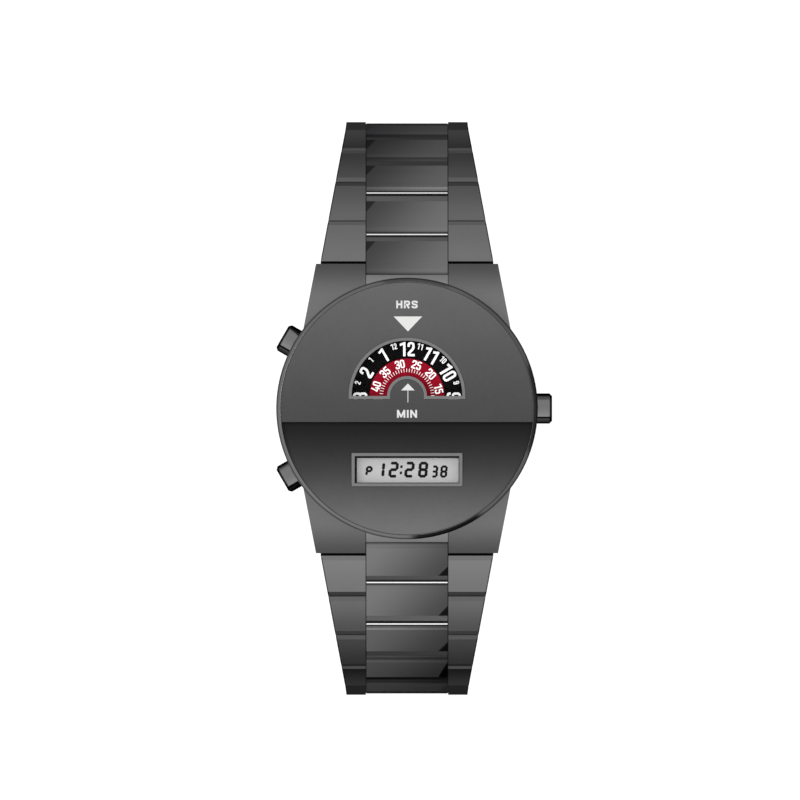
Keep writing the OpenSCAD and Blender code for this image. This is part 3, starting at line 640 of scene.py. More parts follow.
@dataclass(frozen=True)
class Crystal:
    """Clear mineral glass, seen as a thin reflecting sheet."""

    name: str = "clear_crystal"
    falloff: float = 5.0
    gloss: float = 0.75
    smear: float = 0.1
    smear_scale: float = 120.0
    blend: float = 0.5
    roughness: float = 0.05
    coating: Colour = (0.35, 0.35, 0.35)
    tint: Colour = (0.99, 0.99, 0.99)

    def material(self) -> Material:
        """Builds the material.

        Returns:
            The material: clear and coated, with a gloss that grows at a low angle.
        """
        made, graph = new_material(self.name)
        smears = graph.noise(graph.place(), self.smear_scale)
        gloss = graph.node("ShaderNodeBsdfGlossy", {}, {
            "Color": (*self.coating, 1), "Roughness": self.roughness})
        clear = graph.node("ShaderNodeBsdfTransparent", {}, {"Color": (*self.tint, 1)})
        facing = graph.node("ShaderNodeLayerWeight", {}, {"Blend": self.blend}, "Facing")
        share = facing.power(self.falloff) * (self.gloss + smears * self.smear)
        graph.finish(graph.node("ShaderNodeMixShader", {}, {0: share, 1: clear, 2: gloss}))
        return made


@dataclass(frozen=True)
class DisplayGlass:
    """The grey reflective field of the digital display, with a painted glow."""

    name: str = "display_field"
    colour: Colour = (0.42, 0.42, 0.42)
    # A painted glow that lightens the whole field evenly.
    glow: float = 0.115
    roughness: float = 0.45
    low_to_high: Fade = (-11.35, -7.35, 1.08, 0.94)
    sparkle_scale: float = 9000.0
    sparkle: float = 0.10

    def material(self) -> Material:
        """Builds the material.

        Returns:
            The material: a fine sparkle on a field that is a little paler below, with a painted
                glow.
        """
        made, graph = new_material(self.name)
        place = graph.place()
        sparkle = graph.noise(place, self.sparkle_scale).swing(self.sparkle)
        depth = graph.split(place)[1].fade(self.low_to_high) * (1 + sparkle)
        graph.finish(graph.node("ShaderNodeBsdfPrincipled", {}, {
            "Base Color": graph.shade(self.colour, depth),
            "Emission Color": (1.0, 1.0, 1.0, 1.0), "Emission Strength": self.glow,
            "Roughness": self.roughness + sparkle}))
        return made


# Mesh making


@dataclass
class MeshParts:
    """Solids gathered into one mesh, each as points and four-sided faces."""

    points: list[np.ndarray] = field(default_factory=list)
    faces: list[np.ndarray] = field(default_factory=list)
    count: int = 0

    def add(self, points: np.ndarray, faces: np.ndarray) -> None:
        """Adds a solid.

        Args:
            points: Its points in metres, as (n, 3).
            faces: The places of each face's four points among them, as (m, 4).
        """
        self.points.append(points)
        self.faces.append(faces + self.count)
        self.count += len(points)

    def plate(self, outline: np.ndarray, foot: float, thick: float) -> None:
        """Adds a flat plate.

        Args:
            outline: Its corners in mm, anticlockwise.
            foot: The height of its underside in mm.
            thick: Its thickness in mm.
        """
        points, faces = slab(outline)
        self.add((points * [1, 1, thick] + [0, 0, foot]) * MM, faces)

    def build(self, name: str, body: str, slot: str, material: Material) -> None:
        """Makes the piece, as an object at the origin.

        Args:
            name: The piece's name.
            body: The body that it rides on.
            slot: The record's material slot. Not used.
            material: Its finish.
        """
        mesh = bpy.data.meshes.new(name)
        mesh.from_pydata(np.concatenate(self.points).tolist(), [],
                         np.concatenate(self.faces).tolist())
        mesh.materials.append(material)
        mesh.update()
        made = add_object(name, mesh)
        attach(made, body)
        LOG.info("piece %s: %d points on %s", name, self.count, body)


def rounded_path(corners: list[Pair], radius: float, closed: bool) -> np.ndarray:
    """Rounds the corners of a line.

    Each corner P is cut back by the radius along both of its sides, to A and B, and filled
    with the curve (1-t)^2 A + 2t(1-t) P + t^2 B.

    Args:
        corners: The line's corners.
        radius: How far a corner is cut back, at most MOST_CUT of a side.
        closed: Whether the last corner joins the first.

    Returns:
        The points, as (n, 2).
    """
    line = np.array(corners, dtype=float)
    before, after = np.roll(line, 1, axis=0), np.roll(line, -1, axis=0)
    back, ahead = before - line, after - line
    back_len = np.linalg.norm(back, axis=1, keepdims=True)
    ahead_len = np.linalg.norm(ahead, axis=1, keepdims=True)
    start = line + back * np.minimum(radius / back_len, MOST_CUT)
    end = line + ahead * np.minimum(radius / ahead_len, MOST_CUT)
    t = np.linspace(0, 1, CORNER_STEPS)[None, :, None]
    curve = ((1 - t) ** 2 * start[:, None] + 2 * t * (1 - t) * line[:, None]
             + t ** 2 * end[:, None])
    if closed:
        return curve.reshape(-1, 2)
    inner = curve[1:-1].reshape(-1, 2)
    return np.concatenate([line[:1], inner, line[-1:]])


def ribbon(path: np.ndarray, width: float, closed: bool) -> tuple[np.ndarray, np.ndarray]:
    """A flat stroke along a path, as a thin bar of square section.

    At each point the sides stand off by half the width along the mean of the two normals
    there, lengthened by one over the cosine of half the turn.

    Args:
        path: The stroke's middle line, as (n, 2).
        width: The stroke's width.
        closed: Whether the path joins up.

    Returns:
        Points as (4n, 3), with a height of 0 to 1 in z, and faces as (m, 4).
    """
    step = np.roll(path, -1, axis=0) - path
    if not closed:
        step[-1] = step[-2]
    step /= np.linalg.norm(step, axis=1, keepdims=True)
    last = np.roll(step, 1, axis=0)
    if not closed:
        last[0] = step[0]
    normal = np.stack([-(step + last)[:, 1], (step + last)[:, 0]], axis=1)
    normal /= np.linalg.norm(normal, axis=1, keepdims=True)
    cosine = np.abs(step[:, 0] * normal[:, 1] - step[:, 1] * normal[:, 0])
    off = normal * (width / 2 / np.maximum(cosine, LEAST_COSINE))[:, None]
    n = len(path)
    low, high = np.zeros((n, 1)), np.ones((n, 1))
    ring = np.stack([np.hstack([path - off, low]), np.hstack([path + off, low]),
                     np.hstack([path + off, high]), np.hstack([path - off, high])], axis=1)
    return ring.reshape(-1, 3), tube_faces(n, closed)


def tube_faces(rings: int, closed: bool) -> np.ndarray:
    """Faces between rings of four points, which follow each other.

    Args:
        rings: How many there are.
        closed: Whether the last ring joins the first. Otherwise both ends are closed off.

    Returns:
        The faces, as (m, 4).
    """
    here = np.arange(rings if closed else rings - 1)[:, None] * 4
    j = np.arange(4)[None, :]
    there, wrap = (here + 4) % (4 * rings), (j + 1) % 4
    faces = np.stack([here + j, there + j, there + wrap, here + wrap], axis=2).reshape(-1, 4)
    if closed:
        return faces
    end = 4 * (rings - 1)
    return np.vstack([faces, [[0, 1, 2, 3], [end + 3, end + 2, end + 1, end]]])


def slab(outline: np.ndarray) -> tuple[np.ndarray, np.ndarray]:
    """A flat plate from an outline of four or six points.

    Args:
        outline: The corners in order, anticlockwise, as (4, 2) or (6, 2).

    Returns:
        Points with a height of 0 to 1 in z, and faces as (m, 4).
    """
    n = len(outline)
    points = np.vstack([np.hstack([outline, np.full((n, 1), h)]) for h in (0.0, 1.0)])
    j = np.arange(n)
    sides = np.stack([j, (j + 1) % n, (j + 1) % n + n, j + n], axis=1)
    quads = np.array([[0, 1, 2, 3]] if n == 4 else [[0, 1, 2, 5], [2, 3, 4, 5]])
    return points, np.vstack([quads[:, ::-1], quads + n, sides])


@dataclass(frozen=True)
class Stroke:
    """One stroke of a letter or number, in a box one high."""

    corners: tuple[Pair, ...]
    radius: float = 0.0
    closed: bool = False


@dataclass(frozen=True)
class Lettering:
    """A plain condensed alphabet made of strokes, in shares of a sign's height."""

    width: float
    weight: float
    round_by: float = 0.17
    wide_m: float = 1.22
    layer: float = 0.05

    def glyph(self, sign: str) -> tuple[float, list[Stroke]]:
        """Draws a sign.

        Args:
            sign: A digit, or a letter of the unit labels.

        Returns:
            Its width and its strokes.
        """
        w, s, r = self.width * (self.wide_m if sign == "M" else 1.0), self.weight, self.round_by
        lo, hi, left, right, mid = s / 2, 1 - s / 2, s / 2, w - s / 2, 0.5

        def post(x: float) -> Stroke:
            """An upright as high as the sign."""
            return Stroke(((x, 0), (x, 1)))

        def ring(foot: float, head: float) -> Stroke:
            """A closed loop between two heights."""
            return Stroke(((left, foot), (right, foot), (right, head), (left, head)), r, True)

        table = {
            "0": [ring(lo, hi)],
            "1": [post(right - 0.07), Stroke(((right - 0.05, hi), (left - 0.05, hi - 0.13)))],
            "2": [Stroke(((left, 0.66), (left, hi), (right, hi), (right, 0.55), (left, 0.2),
                          (left, lo), (w, lo)), r * 0.8)],
            "3": [Stroke(((left, 0.70), (left, hi), (right, hi), (right, mid), (0.16, mid)), r),
                  Stroke(((0.16, mid), (right, mid), (right, lo), (left, lo), (left, 0.30)), r)],
            "4": [Stroke(((0.22, 1.0), (left - 0.02, 0.26), (w + 0.03, 0.26))),
                  Stroke(((right - 0.04, 0.56), (right - 0.04, 0)))],
            "5": [Stroke(((w - 0.02, hi), (left, hi), (left, 0.56), (right, 0.56), (right, lo),
                          (left, lo), (left, 0.28)), r * 0.7)],
            "6": [Stroke(((right, 0.72), (right, hi), (left, hi), (left, 0.5)), r),
                  ring(lo, 0.56)],
            "7": [Stroke(((0, hi), (right + 0.02, hi), (0.14, 0)))],
            "8": [ring(lo, mid), ring(mid, hi)],
            "9": [Stroke(((left, 0.28), (left, lo), (right, lo), (right, 0.5)), r),
                  ring(0.44, hi)],
            "H": [post(left), post(right), Stroke(((left, 0.52), (right, 0.52)))],
            "R": [Stroke(((left, 0), (left, hi), (right, hi), (right, 0.49), (left, 0.49)), 0.16),
                  Stroke(((left, hi - 0.2), (left, hi), (left + 0.25, hi))),
                  Stroke(((w * 0.46, 0.49), (w - s * 0.62, 0)))],
            "S": [Stroke(((right + 0.01, 0.68), (right, hi), (left, hi), (left, 0.56),
                          (right, 0.46), (right, lo), (left, lo), (left - 0.01, 0.32)), 0.22)],
            "M": [post(left), post(right), Stroke(((s * 0.52, 0.97), (w / 2, 0.08))),
                  Stroke(((w - s * 0.52, 0.97), (w / 2, 0.08)))],
            "I": [post(left)],
            "N": [post(left), post(right), Stroke(((s * 0.45, 0.96), (w - s * 0.45, 0.04)))],
        }
        return (s if sign == "I" else w), table[sign]

    def write(self, parts: MeshParts, text: str, height: float, gap: float,
              place: np.ndarray, origin: np.ndarray, thick: float) -> None:
        """Writes a word, centred.

        Args:
            parts: Where the strokes go.
            text: The signs.
            height: Their height in metres.
            gap: The space between signs, as a share of the height.
            place: The word's right and up directions, as the rows of a (2, 3) array.
            origin: The word's middle, in metres.
            thick: The print's thickness in metres.
        """
        glyphs = [self.glyph(sign) for sign in text]
        total = sum(w for w, _ in glyphs) + gap * (len(text) - 1)
        start = -total / 2
        normal = np.cross(place[0], place[1])
        for w, strokes in glyphs:
            for level, stroke in enumerate(strokes):
                path = np.array(stroke.corners, dtype=float)
                if stroke.radius:
                    path = rounded_path(list(stroke.corners), stroke.radius, stroke.closed)
                points, faces = ribbon(path, self.weight, stroke.closed)
                flat = (points[:, :2] + [start, -0.5]) * height
                lift = points[:, 2:] * thick * (1 + self.layer * level)
                parts.add(origin + flat @ place + lift * normal, faces)
            start += w + gap


# The watch

Finish = Metal | Coating | Crystal | DisplayGlass


@dataclass
class Palette:
    """The record's slots and their finishes, made once."""

    finishes: dict[str, Finish] = field(default_factory=lambda: {
        # The case, bezel and face platings below have shade and highlights painted into their
        # colour.
        "case_steel": Metal("case_plating", (0.112, 0.112, 0.113), 0.36, Grain.BLASTED,
                            Grading.CASE),
        "polished_steel": Metal("polished_plating", (0.190, 0.190, 0.192), 0.13, Grain.BLASTED,
                                Grading.RIM, 0.01, 0.04, rim_tint=(0.12, 0.12, 0.12)),
        "clasp_steel": Metal("clasp_plating", (0.106, 0.106, 0.107), 0.32, Grain.ALONG_X),
        "face_coating": Metal("face_plating", (0.119, 0.119, 0.119), 0.42, Grain.BLASTED,
                              Grading.DECKS, edge=0.05, mottle=0.12),
        "frame_steel": Metal("frame_steel", (0.19, 0.19, 0.191), 0.34, Grain.BLASTED, edge=0.05),
        "crystal": Crystal(),
        "minute_red": Coating("minute_red_print", (0.335, 0.003, 0.018), 0.5, 0.05, bump=0.004,
                              spun=True, specular=0.05),
        "hour_black": Coating("hour_black_print", (0.0025, 0.0025, 0.0025), 0.5, 0.10, bump=0.004,
                              spun=True, specular=0.05),
        "display_glass": DisplayGlass(),
        "pin_steel": Metal("bright_steel", (0.45, 0.45, 0.46), 0.25, Grain.ALONG_X),
        "brass": Metal("brass", (0.60, 0.42, 0.16), 0.30, Grain.ALONG_Z),
        "cell_steel": Metal("nickel", (0.60, 0.60, 0.60), 0.28, Grain.BLASTED),
        "black_rubber": Coating("black_rubber", (0.02, 0.02, 0.02), 0.7, 0.2, 2500.0, 0.2),
        "holder_plastic": Coating("holder_plastic", (0.62, 0.62, 0.58), 0.5, 0.05, 1200.0),
        "board_green": Coating("board_lacquer", (0.03, 0.16, 0.06), 0.35, 0.25, 1500.0, coat=0.4),
    })
    # The caps' finish has dark reflections painted along and round them.
    caps: tuple[str, ...] = ("crown", "upper_pusher", "lower_pusher")
    cap_finish: Metal = Metal("cap_plating", (0.180, 0.180, 0.182), 0.13, Grain.BLASTED,
                              Grading.CONTROLS, 0.01, 0.04, rim_tint=(0.12, 0.12, 0.12))

    def dress(self, nodes: dict[str, bpy.types.Object], record: dict) -> None:
        """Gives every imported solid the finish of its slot, and the caps their own.

        Args:
            nodes: The frame's objects by name.
            record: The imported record, which names each node's slot.
        """
        made = {slot: finish.material() for slot, finish in self.finishes.items()}
        for part in record["subparts"]:
            if part["material_slot"] in made:
                paint(nodes[part["node"]], made[part["material_slot"]])
        cap = self.cap_finish.material()
        for name in self.caps:
            paint(nodes[name], cap)


def paint(target: bpy.types.Object, material: Material) -> None:
    """Puts one material on all of an object."""
    target.data.materials.clear()
    target.data.materials.append(material)


@dataclass
class Scales:
    """The printed hour and minute discs behind the arched window, in mm and degrees."""

    axis: Pair = (0.0, 1.92)
    hour_top: float = 8.20
    hour_turn: float = 30.0
    hour_r: float = 7.16
    hour_size: float = 2.18
    half_hour_r: float = 7.80
    half_hour_size: float = 0.92
    minute_top: float = 8.55
    minute_turn: float = 6.0
    minute_r: float = 4.93
    minute_size: float = 1.28
    ticks: Triple = (3.66, 4.20, 0.085)
    shown_minute: float = 27.87
    print_t: float = 0.02
    gap: float = 0.07
    letters: Lettering = Lettering(0.50, 0.162)
    small_letters: Lettering = Lettering(0.48, 0.165)
    minute_letters: Lettering = Lettering(0.53, 0.160)

    def _spot(self, turn: float, radius: float, top: float) -> tuple[np.ndarray, np.ndarray]:
        """Where a sign stands on a disc.

        With a as the turn in radians, up is (-sin a, cos a), and the middle is the axis
        plus up times the radius.

        Args:
            turn: Its angle round the disc from the top, anticlockwise, in degrees.
            radius: Its distance from the disc's axis in mm.
            top: The disc's height in mm.

        Returns:
            Its right and up directions, and its middle in metres.
        """
        a = math.radians(turn)
        right = np.array([math.cos(a), math.sin(a), 0.0])
        up = np.array([-math.sin(a), math.cos(a), 0.0])
        middle = np.array([*self.axis, top]) + up * radius
        return np.array([right, up]), middle * MM

    def build(self, ink: Material) -> None:
        """Prints both discs.

        Args:
            ink: The finish of the print.
        """
        hours, minutes = MeshParts(), MeshParts()
        for hour in range(1, 13):
            for turn, r, size, font in (
                    (hour, self.hour_r, self.hour_size, self.letters),
                    (hour + 0.5, self.half_hour_r, self.half_hour_size, self.small_letters)):
                spot = self._spot(self.hour_turn * turn, r, self.hour_top)
                font.write(hours, str(hour), size * MM, self.gap, *spot, self.print_t * MM)
        inner, outer, width = self.ticks
        tick, faces = slab(SQUARE * [width / 2, (outer - inner) / 2])
        for minute in range(60):
            turn = self.minute_turn * (minute - self.shown_minute)
            place, origin = self._spot(turn, (inner + outer) / 2, self.minute_top)
            lift = tick[:, 2:] * self.print_t * [0, 0, MM]
            minutes.add(origin + tick[:, :2] * MM @ place + lift, faces)
            if minute % 5 == 0:
                spot = self._spot(turn, self.minute_r, self.minute_top)
                self.minute_letters.write(minutes, str(minute or 60), self.minute_size * MM,
                                          self.gap, *spot, self.print_t * MM)
        hours.build("hour_numerals", "hour_display", "hour_black", ink)
        minutes.build("minute_numerals", "minute_display", "minute_red", ink)


@dataclass
class FacePrint:
    """The unit labels and pointers on the upper deck, in mm."""

    top: float = 10.30
    print_t: float = 0.02
    gap: float = 0.20
    labels: tuple[tuple[str, float, float, Lettering], ...] = (
        ("HRS", 15.90, 1.17, Lettering(0.80, 0.225)),
        ("MIN", -0.81, 1.20, Lettering(0.87, 0.225)))
    middle_x: float = 0.14
    down_half: float = 2.18
    down_y: Pair = (14.07, 11.79)
    up_half: float = 1.04
    up_y: Triple = (3.83, 2.77, 0.93)
    stem: float = 0.11

    def build(self, ink: Material) -> None:
        """Prints the labels, the triangle and the arrow.

        Args:
            ink: The finish of the print.
        """
        parts = MeshParts()
        for text, y, size, font in self.labels:
            font.write(parts, text, size * MM, self.gap, np.eye(3)[:2],
                       np.array([0, y, self.top]) * MM, self.print_t * MM)
        (high, low), (tip, base, foot) = self.down_y, self.up_y
        down, up, stem = self.down_half, self.up_half, self.stem / 2
        for outline in (((0, low), (down, high), (0, high), (-down, high)),
                        ((-up, base), (0, base), (up, base), (0, tip)),
                        ((-stem, foot), (stem, foot), (stem, base), (-stem, base))):
            parts.plate(np.array(outline) + [self.middle_x, 0], self.top, self.print_t)
        parts.build("face_print", "case", "face_coating", ink)


@dataclass
class Display:
    """The segments of the digital display, and dark bands painted on it as the frame's shadow, in
    mm.

    The signs' edges are given in pixels of px mm, left, right, top and bottom, and so are the
    colon's dots and the middle of the face.
    """

    panel_top: float = 8.60
    middle_y: float = -9.35
    half_w: float = 7.99
    half_h: float = 2.075
    slant: float = 0.09
    print_t: float = 0.02
    lift: float = 0.005
    px: float = 0.15326
    centre_px: Pair = (407.0, 408.5)
    weight: float = 0.44
    small_sign: float = 2.2
    small_weight: float = 0.352
    sign_gap: float = 0.08
    nib: float = 0.30
    reach: float = 0.04
    signs: tuple[tuple[str, float, float, float, float], ...] = (
        ("P", 365.9, 373.2, 465.9, 476.1), ("1", 375.4, 385.3, 461.6, 477.5),
        ("2", 388.9, 398.9, 461.6, 477.5), ("2", 404.7, 414.8, 461.6, 477.5),
        ("8", 418.4, 428.3, 461.6, 477.5), ("3", 431.6, 438.6, 465.3, 477.5),
        ("8", 440.4, 448.0, 465.3, 477.5))
    lit: dict[str, str] = field(default_factory=lambda: {
        "P": "abefg", "1": "bc", "2": "abged", "3": "abgcd", "8": "abcdefg"})
    dots: tuple[Pair, ...] = ((401.2, 466.6), (401.2, 472.8))
    dot_half: Pair = (0.17, 0.21)
    # Painted shadow: a wide dark band at the left and at the top, and a thin one at the right and
    # the bottom.
    surround: Triple = (0.34, 0.30, 0.10)
    surround_foot: float = 0.7
    surround_t: float = 0.03

    def _segment(self, start: Pair, end: Pair, weight: float) -> np.ndarray:
        """Draws a bar with blunt pointed ends.

        Each end is a point on the middle line, with a corner on both sides of it that lies
        a nib further in and half the weight off the line.

        Args:
            start: The middle of one end.
            end: The middle of the other.
            weight: Its width.

        Returns:
            Its six corners, as (6, 2).
        """
        a, b = np.array(start), np.array(end)
        along = (b - a) / np.linalg.norm(b - a)
        side = np.array([-along[1], along[0]]) * weight / 2
        nib, reach = along * weight * self.nib, along * weight * self.reach
        a, b = a - reach, b + reach
        return np.array([a, a + nib - side, b - nib - side, b, b - nib + side, a + nib + side])

    def _digit(self, parts: MeshParts, sign: str, corner: Pair, size: Pair,
               weight: float) -> None:
        """Adds the lit segments of one sign.

        Args:
            parts: Where they go.
            sign: The sign.
            corner: Its lower left corner.
            size: Its width and height.
            weight: The width of a segment.
        """
        low, (right, high) = weight / 2, np.array(size) - weight / 2
        mid = size[1] / 2
        bars = {"a": ((low, high), (right, high)), "b": ((right, mid), (right, high)),
                "c": ((right, low), (right, mid)), "d": ((low, low), (right, low)),
                "e": ((low, low), (low, mid)), "f": ((low, mid), (low, high)),
                "g": ((low, mid), (right, mid))}
        for key in self.lit[sign]:
            self._flat(parts, self._segment(*bars[key], weight) + corner)

    def _flat(self, parts: MeshParts, outline: np.ndarray) -> None:
        """Adds a flat shape on the panel, slanted with the others.

        Each corner moves right by the slant times its distance above the middle line.

        Args:
            parts: Where the shape goes.
            outline: Its upright outline in mm, as (n, 2).
        """
        slanted = outline.copy()
        slanted[:, 0] += (outline[:, 1] - self.middle_y) * self.slant
        parts.plate(slanted, self.panel_top + self.lift, self.print_t)

    def build(self, black: Material) -> None:
        """Makes the segments and the dark bands of painted shadow.

        Args:
            black: The finish of both.
        """
        parts, shadow_sheets = MeshParts(), MeshParts()
        cx, cy = self.centre_px
        for sign, x0, x1, y0, y1 in self.signs:
            height = (y1 - y0) * self.px
            weight = self.small_weight if height < self.small_sign else self.weight
            self._digit(parts, sign, ((x0 - cx) * self.px, (cy - y1) * self.px),
                        ((x1 - x0) * self.px - self.sign_gap, height), weight)
        for x, y in self.dots:
            middle = np.array([x - cx, cy - y]) * self.px
            self._flat(parts, middle + SQUARE * self.dot_half)
        parts.build("display_segments", "case", "display_glass", black)

        # Dark sheets painted as the frame's shadow inside the display.
        w, h, middle = self.half_w, self.half_h, [0, self.middle_y]
        left, top, thin = self.surround
        for x0, y0, x1, y1 in ((-w, -h, -w + left, h), (w - thin, -h, w, h),
                               (-w + left, h - top, w - thin, h),
                               (-w + left, -h, w - thin, -h + thin)):
            outline = np.array([(x0, y0), (x1, y0), (x1, y1), (x0, y1)]) + middle
            shadow_sheets.plate(outline, self.panel_top + self.surround_foot, self.surround_t)
        shadow_sheets.build("display_painted_shadow", "case", "hour_black", black)


class Side(Enum):
    """The half of the bracelet that leads from twelve or from six o'clock."""

    TWELVE = ("12", 1)
    SIX = ("06", -1)


@dataclass
class Bracelet:
    """The rows of links on both sides, and bright strips painted as highlights in dark seats
    painted as shade at their first joints, in mm.
    """

    rows: int = 10
    pitch: float = 6.56
    first_pin: Pair = (20.55, 4.0)
    first_tilt: float = 19.1
    second_tilt: float = 25.4
    tilt_step: float = 16.9
    shoulder_end: float = 22.15
    half_start: float = 13.3
    half_end: float = 9.3
    taper_len: float = 21.55
    link_top: float = 1.45
    edge_places: Pair = (1.66, 8.16)
    colour: Colour = (0.1175, 0.1175, 0.1185)
    # Painted shade and highlights, row by row from the case outwards, for each half of the
    # bracelet.
    depths: dict[Side, tuple[RowDepth, ...]] = field(default_factory=lambda: {
        Side.TWELVE: (RowDepth(1.03, 0.80, 1.7, 0.6, (1.46, 1.20)),
                      RowDepth(1.10, 1.15, 1.8, 0.6, (1.18, 0.76), 0.85),
                      RowDepth(1.46, 0.66, 2.0, 0.6, (1.12, 0.60), 1.7),
                      RowDepth(1.08, 0.78, 2.9, 0.5, (0.53, 0.88), 1.15, 2.1),
                      RowDepth(0.95, 0.60, 3.0, 0.5, (0.50, 0.42), 1.0, 1.3)),
        Side.SIX: (RowDepth(1.03, 0.60, 1.5, 0.88, (1.55, 1.30), 0.42),
                   RowDepth(1.00, 1.62, 1.7, 0.88, (1.10, 0.62), 1.0),
                   RowDepth(1.18, 0.70, 1.9, 0.90, (0.84, 0.44), 0.85),
                   RowDepth(0.92, 0.20, 4.6, 0.88, (0.22, 0.58), 0.35, 4.6),
                   RowDepth(0.66, 0.20, 4.6, 0.8, (0.22, 0.20), 1.0, 2.4))})
    slit: Pair = (6.235, 6.325)
    # Dark sheets that stand in the slits between the columns as painted shade.
    liner: tuple[Pair, ...] = ((-0.7, -0.7), (5.9, -0.7), (5.9, 1.28), (-0.7, 1.28))
    joint_backs: Pair = (0.60, 0.29)
    joint_half: float = 6.20
    # A dark seat painted as shade and a bright strip painted as a highlight, laid across each of
    # the first two joints.
    seat: tuple[Pair, ...] = ((-0.40, 1.25), (0.34, 1.355), (0.34, 1.375), (-0.40, 1.375))
    strip: tuple[Pair, ...] = ((-0.10, 1.375), (0.10, 1.375), (0.10, 1.42), (-0.10, 1.42))

    def tilt(self, i: int) -> float:
        """How far row i is turned down, in radians."""
        turn = self.first_tilt if i == 1 else self.second_tilt + self.tilt_step * (i - 2)
        return math.radians(turn)

    def pin(self, i: int) -> Pair:
        """Where a row turns. Each pin lies a pitch down the slope of the row before it.

        Args:
            i: The row.

        Returns:
            Its pin's distance from the middle and its height, in mm.
        """
        y, z = self.first_pin
        for k in range(1, i):
            y += self.pitch * math.cos(self.tilt(k))
            z -= self.pitch * math.sin(self.tilt(k))
        return y, z

    def half_at(self, i: int, u: float) -> float:
        """Half of a row's width, as the bracelet narrows evenly.

        Args:
            i: The row.
            u: The distance along it from its pin.

        Returns:
            Half of its width there.
        """
        if self.tilt(i) > math.pi / 2:
            return self.half_end
        y = self.pin(i)[0] + u * math.cos(self.tilt(i)) + self.link_top * math.sin(self.tilt(i))
        slope = (self.half_start - self.half_end) / self.taper_len
        return max(self.half_end, self.half_start - slope * (y - self.shoulder_end))

    def _lay(self, kind: str, side: Side, i: int, widths: tuple[Pair, ...],
             section: tuple[Pair, ...], slot: str, material: Material) -> None:
        """Lays bars across a row, as one piece that rides on it.

        The section's corners are turned by the row's slope about its pin, and the section is
        carried straight across the bracelet.

        Args:
            kind: What the piece is. Its name starts with it.
            side: The half of the bracelet.
            i: The row.
            widths: Where each bar starts and ends across the row.
            section: Four corners, as distance along the row and height above the pins.
            slot: The record's material slot.
            material: Its finish.
        """
        label, way = side.value
        (y, z), turn, parts = self.pin(i), self.tilt(i), MeshParts()
        u, v = np.array(section).T
        ahead = np.tile(y + u * math.cos(turn) + v * math.sin(turn), 2)
        up = np.tile(z - u * math.sin(turn) + v * math.cos(turn), 2)
        for width in widths:
            points = np.stack([np.repeat(width, 4), ahead, up], axis=1) * [way, way, 1]
            parts.add(points * MM, tube_faces(2, False))
        parts.build(f"{kind}_{label}_{i:02d}", f"row_{label}_{i:02d}", slot, material)

    def build(self, nodes: dict[str, bpy.types.Object], steel: Material,
              black: Material) -> None:
        """Dresses all rows, lines their slits with dark sheets painted as shade and lays bright
        strips painted as highlights in dark seats painted as shade.

        Args:
            nodes: The frame's objects by name.
            steel: The finish of the strips painted as highlights.
            black: The finish of the sheets in the slits and of the seats, both painted as shade.
        """
        slits = ((-self.slit[1], -self.slit[0]), self.slit)
        across = ((-self.joint_half, self.joint_half),)
        for side, depths in self.depths.items():
            label, way = side.value
            for i in range(1, self.rows + 1):
                edges = tuple(self.half_at(i, u) for u in self.edge_places)
                finish = LinkMetal(f"link_plating_{label}_{i:02d}", self.colour, self.pin(i),
                                   self.tilt(i), way, self.edge_places, edges,
                                   depths[min(i, len(depths)) - 1])
                paint(nodes[f"link_{label}_{i:02d}"], finish.material())
                # Dark sheets painted as shade in the slits.
                self._lay("column_shade_sheet", side, i, slits, self.liner, "black_rubber", black)
            # Bright strips painted as highlights, in dark seats painted as shade.
            for i, back in enumerate(self.joint_backs, 1):
                for kind, section, slot, finish in (
                        ("joint_shade_seat", self.seat, "black_rubber", black),
                        ("joint_highlight_strip", self.strip, "pin_steel", steel)):
                    placed = tuple((self.pitch - back + u, v) for u, v in section)
                    self._lay(kind, side, i, across, placed, slot, finish)


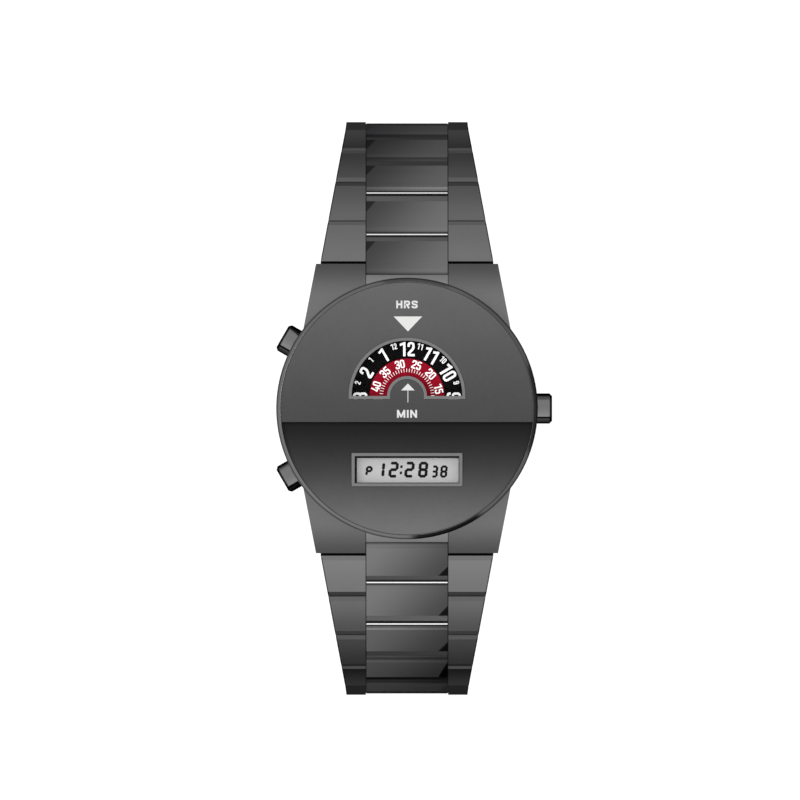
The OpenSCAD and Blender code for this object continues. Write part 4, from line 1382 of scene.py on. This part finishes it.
@dataclass
class Studio:
    """Pale floor, soft light from above and a long lens straight down.

    A card has the middle and half of its width as angles, the sines of the heights of its foot
    and head, and its depth.
    """

    floor_z: float = -70.02
    floor_half: float = 4000.0
    floor_tone: Colour = (0.36, 0.36, 0.36)
    floor_mottle: Pair = (40.0, 0.02)
    floor_glow: Pair = (0.80, 0.10)
    sky: tuple[Pair, ...] = (
        (0.0, 0.90), (0.25, 1.02), (0.5, 1.16), (0.72, 1.14), (0.88, 1.06), (1.0, 1.02))
    cards: tuple[tuple[float, float, float, float, float], ...] = (
        (1.50, 0.26, 0.0, 0.32, 0.5), (-1.25, 0.28, 0.0, 0.32, 0.97),
        (0.0, 0.34, 0.0, 0.32, 0.8), (-1.57, 0.65, 0.20, 0.40, 0.95))
    card_soft: float = 0.1
    card_tone: Colour = (0.02, 0.02, 0.02)
    lean: float = 0.2
    lamp_at: Triple = (-0.39, 0.10, 0.57)
    lamp_size: float = 0.30
    lamp_power: float = 0.9
    picture_mm: float = 122.6
    aim: Pair = (-1.07, 1.30)
    distance: float = 4.0
    sensor: float = 36.0
    clip: Pair = (0.1, 20.0)

    def floor(self) -> None:
        """A pale floor that the camera sees as white, with the watch's soft shadow."""
        half, z = self.floor_half * MM, self.floor_z * MM
        mesh = bpy.data.meshes.new("studio_floor")
        mesh.from_pydata([(x * half, y * half, z) for x, y in SQUARE.tolist()], [],
                         [(0, 1, 2, 3)])
        material, graph = new_material("pale_floor")
        scale, mottle = self.floor_mottle
        tone = 1 + graph.noise(graph.place(), scale).swing(mottle)
        base = graph.node("ShaderNodeBsdfDiffuse", {}, {
            "Color": graph.shade(self.floor_tone, tone)})
        path = graph.node("ShaderNodeLightPath", {}, {}, "Is Camera Ray")
        glossy, through = (Sock(graph, path.socket.node.outputs[name])
                           for name in ("Is Glossy Ray", "Is Transmission Ray"))
        seen, mirrored = self.floor_glow
        strength = (path * seen).larger(glossy.larger(through) * mirrored)
        glow = graph.node("ShaderNodeEmission", {}, {
            "Color": (1.0, 1.0, 1.0, 1.0), "Strength": strength})
        graph.finish(graph.node("ShaderNodeAddShader", {}, {0: base, 1: glow}))
        mesh.materials.append(material)
        add_object("studio_floor", mesh)

    def world(self) -> None:
        """Soft light that is brightest overhead, with dark cards near the horizon."""
        world = bpy.data.worlds.new("studio")
        bpy.context.scene.world = world
        world.use_nodes = True
        graph = Graph(world.node_tree)
        x, y, z = graph.split(graph.node("ShaderNodeTexCoord", {}, {}, "Generated"))
        level = graph.split(graph.node("ShaderNodeValToRGB", {"stops": self.sky}, {0: z}))[0]
        light = graph.shade((1.0, 1.0, 1.0), level * (1 - y * self.lean))
        direction = y.angle_from(x)
        cards = 0.0
        for middle, half, foot, head, depth in self.cards:
            inner, outer = half * (1 - self.card_soft), half * (1 + self.card_soft)
            wide = abs(direction - middle).ramp(inner, outer, depth, 0.0)
            cards = (wide * z.above(foot) * z.below(head)).larger(cards)
        camera = graph.node("ShaderNodeLightPath", {}, {}, "Is Camera Ray")
        colour = graph.blend(camera, graph.blend(cards, light, self.card_tone), (1.0, 1.0, 1.0))
        background = graph.node("ShaderNodeBackground", {}, {"Color": colour, "Strength": 1.0})
        graph.node("ShaderNodeOutputWorld", {}, {"Surface": background})

    def lamp(self) -> None:
        """One wide soft lamp above and to the left."""
        data = bpy.data.lights.new("soft_lamp", "AREA")
        data.shape, data.size, data.energy = "DISK", self.lamp_size, self.lamp_power
        lamp = add_object("soft_lamp", data)
        lamp.location = self.lamp_at
        lamp.rotation_euler = (-lamp.location).to_track_quat("-Z", "Y").to_euler()

    def camera(self) -> None:
        """A long lens straight above the dial."""
        data = bpy.data.cameras.new("camera")
        data.sensor_width = self.sensor
        data.lens = self.sensor * self.distance / (self.picture_mm * MM)
        data.clip_start, data.clip_end = self.clip
        made = add_object("camera", data)
        made.location = (self.aim[0] * MM, self.aim[1] * MM, self.distance)
        bpy.context.scene.camera = made

    def build(self) -> None:
        """Sets the studio and the plain view transform."""
        self.floor()
        self.world()
        self.lamp()
        self.camera()
        bpy.context.scene.view_settings.view_transform = "Standard"


def corners(bounds: tuple) -> list[list[float]]:
    """A box's two corners as plain lists."""
    return [[float(v) for v in corner] for corner in bounds]


def main() -> None:
    """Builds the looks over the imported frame."""
    logging.basicConfig(level=logging.INFO, format="%(name)s: %(message)s", stream=sys.stdout)
    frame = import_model()
    Studio().build()
    palette = Palette()
    palette.dress(frame["nodes"], frame["record"])
    ink = Coating("white_print", (0.67, 0.67, 0.665), 0.55, 0.04, 6000.0).material()
    # The scale print has a painted glow that makes it brighter under the crystal.
    scale_ink = Coating("scale_print_painted_glow", (0.95, 0.95, 0.94), 0.55, 0.02, 6000.0,
                        glow=0.42).material()
    black = Coating("segment_black", (0.008, 0.008, 0.009), 0.5, 0.04, 6000.0,
                    specular=0.1).material()
    Scales().build(scale_ink)
    FacePrint().build(ink)
    Display().build(black)
    # A bright plating for the strips painted as highlights at the joints.
    bright = Metal("painted_highlight_strip", (0.80, 0.80, 0.80), 0.2, Grain.ALONG_X, edge=0.01).material()
    Bracelet().build(frame["nodes"], bright, black)
    LOG.info("watch dressed: %d solids", len(frame["nodes"]))


if __name__ == "__main__":
    main()
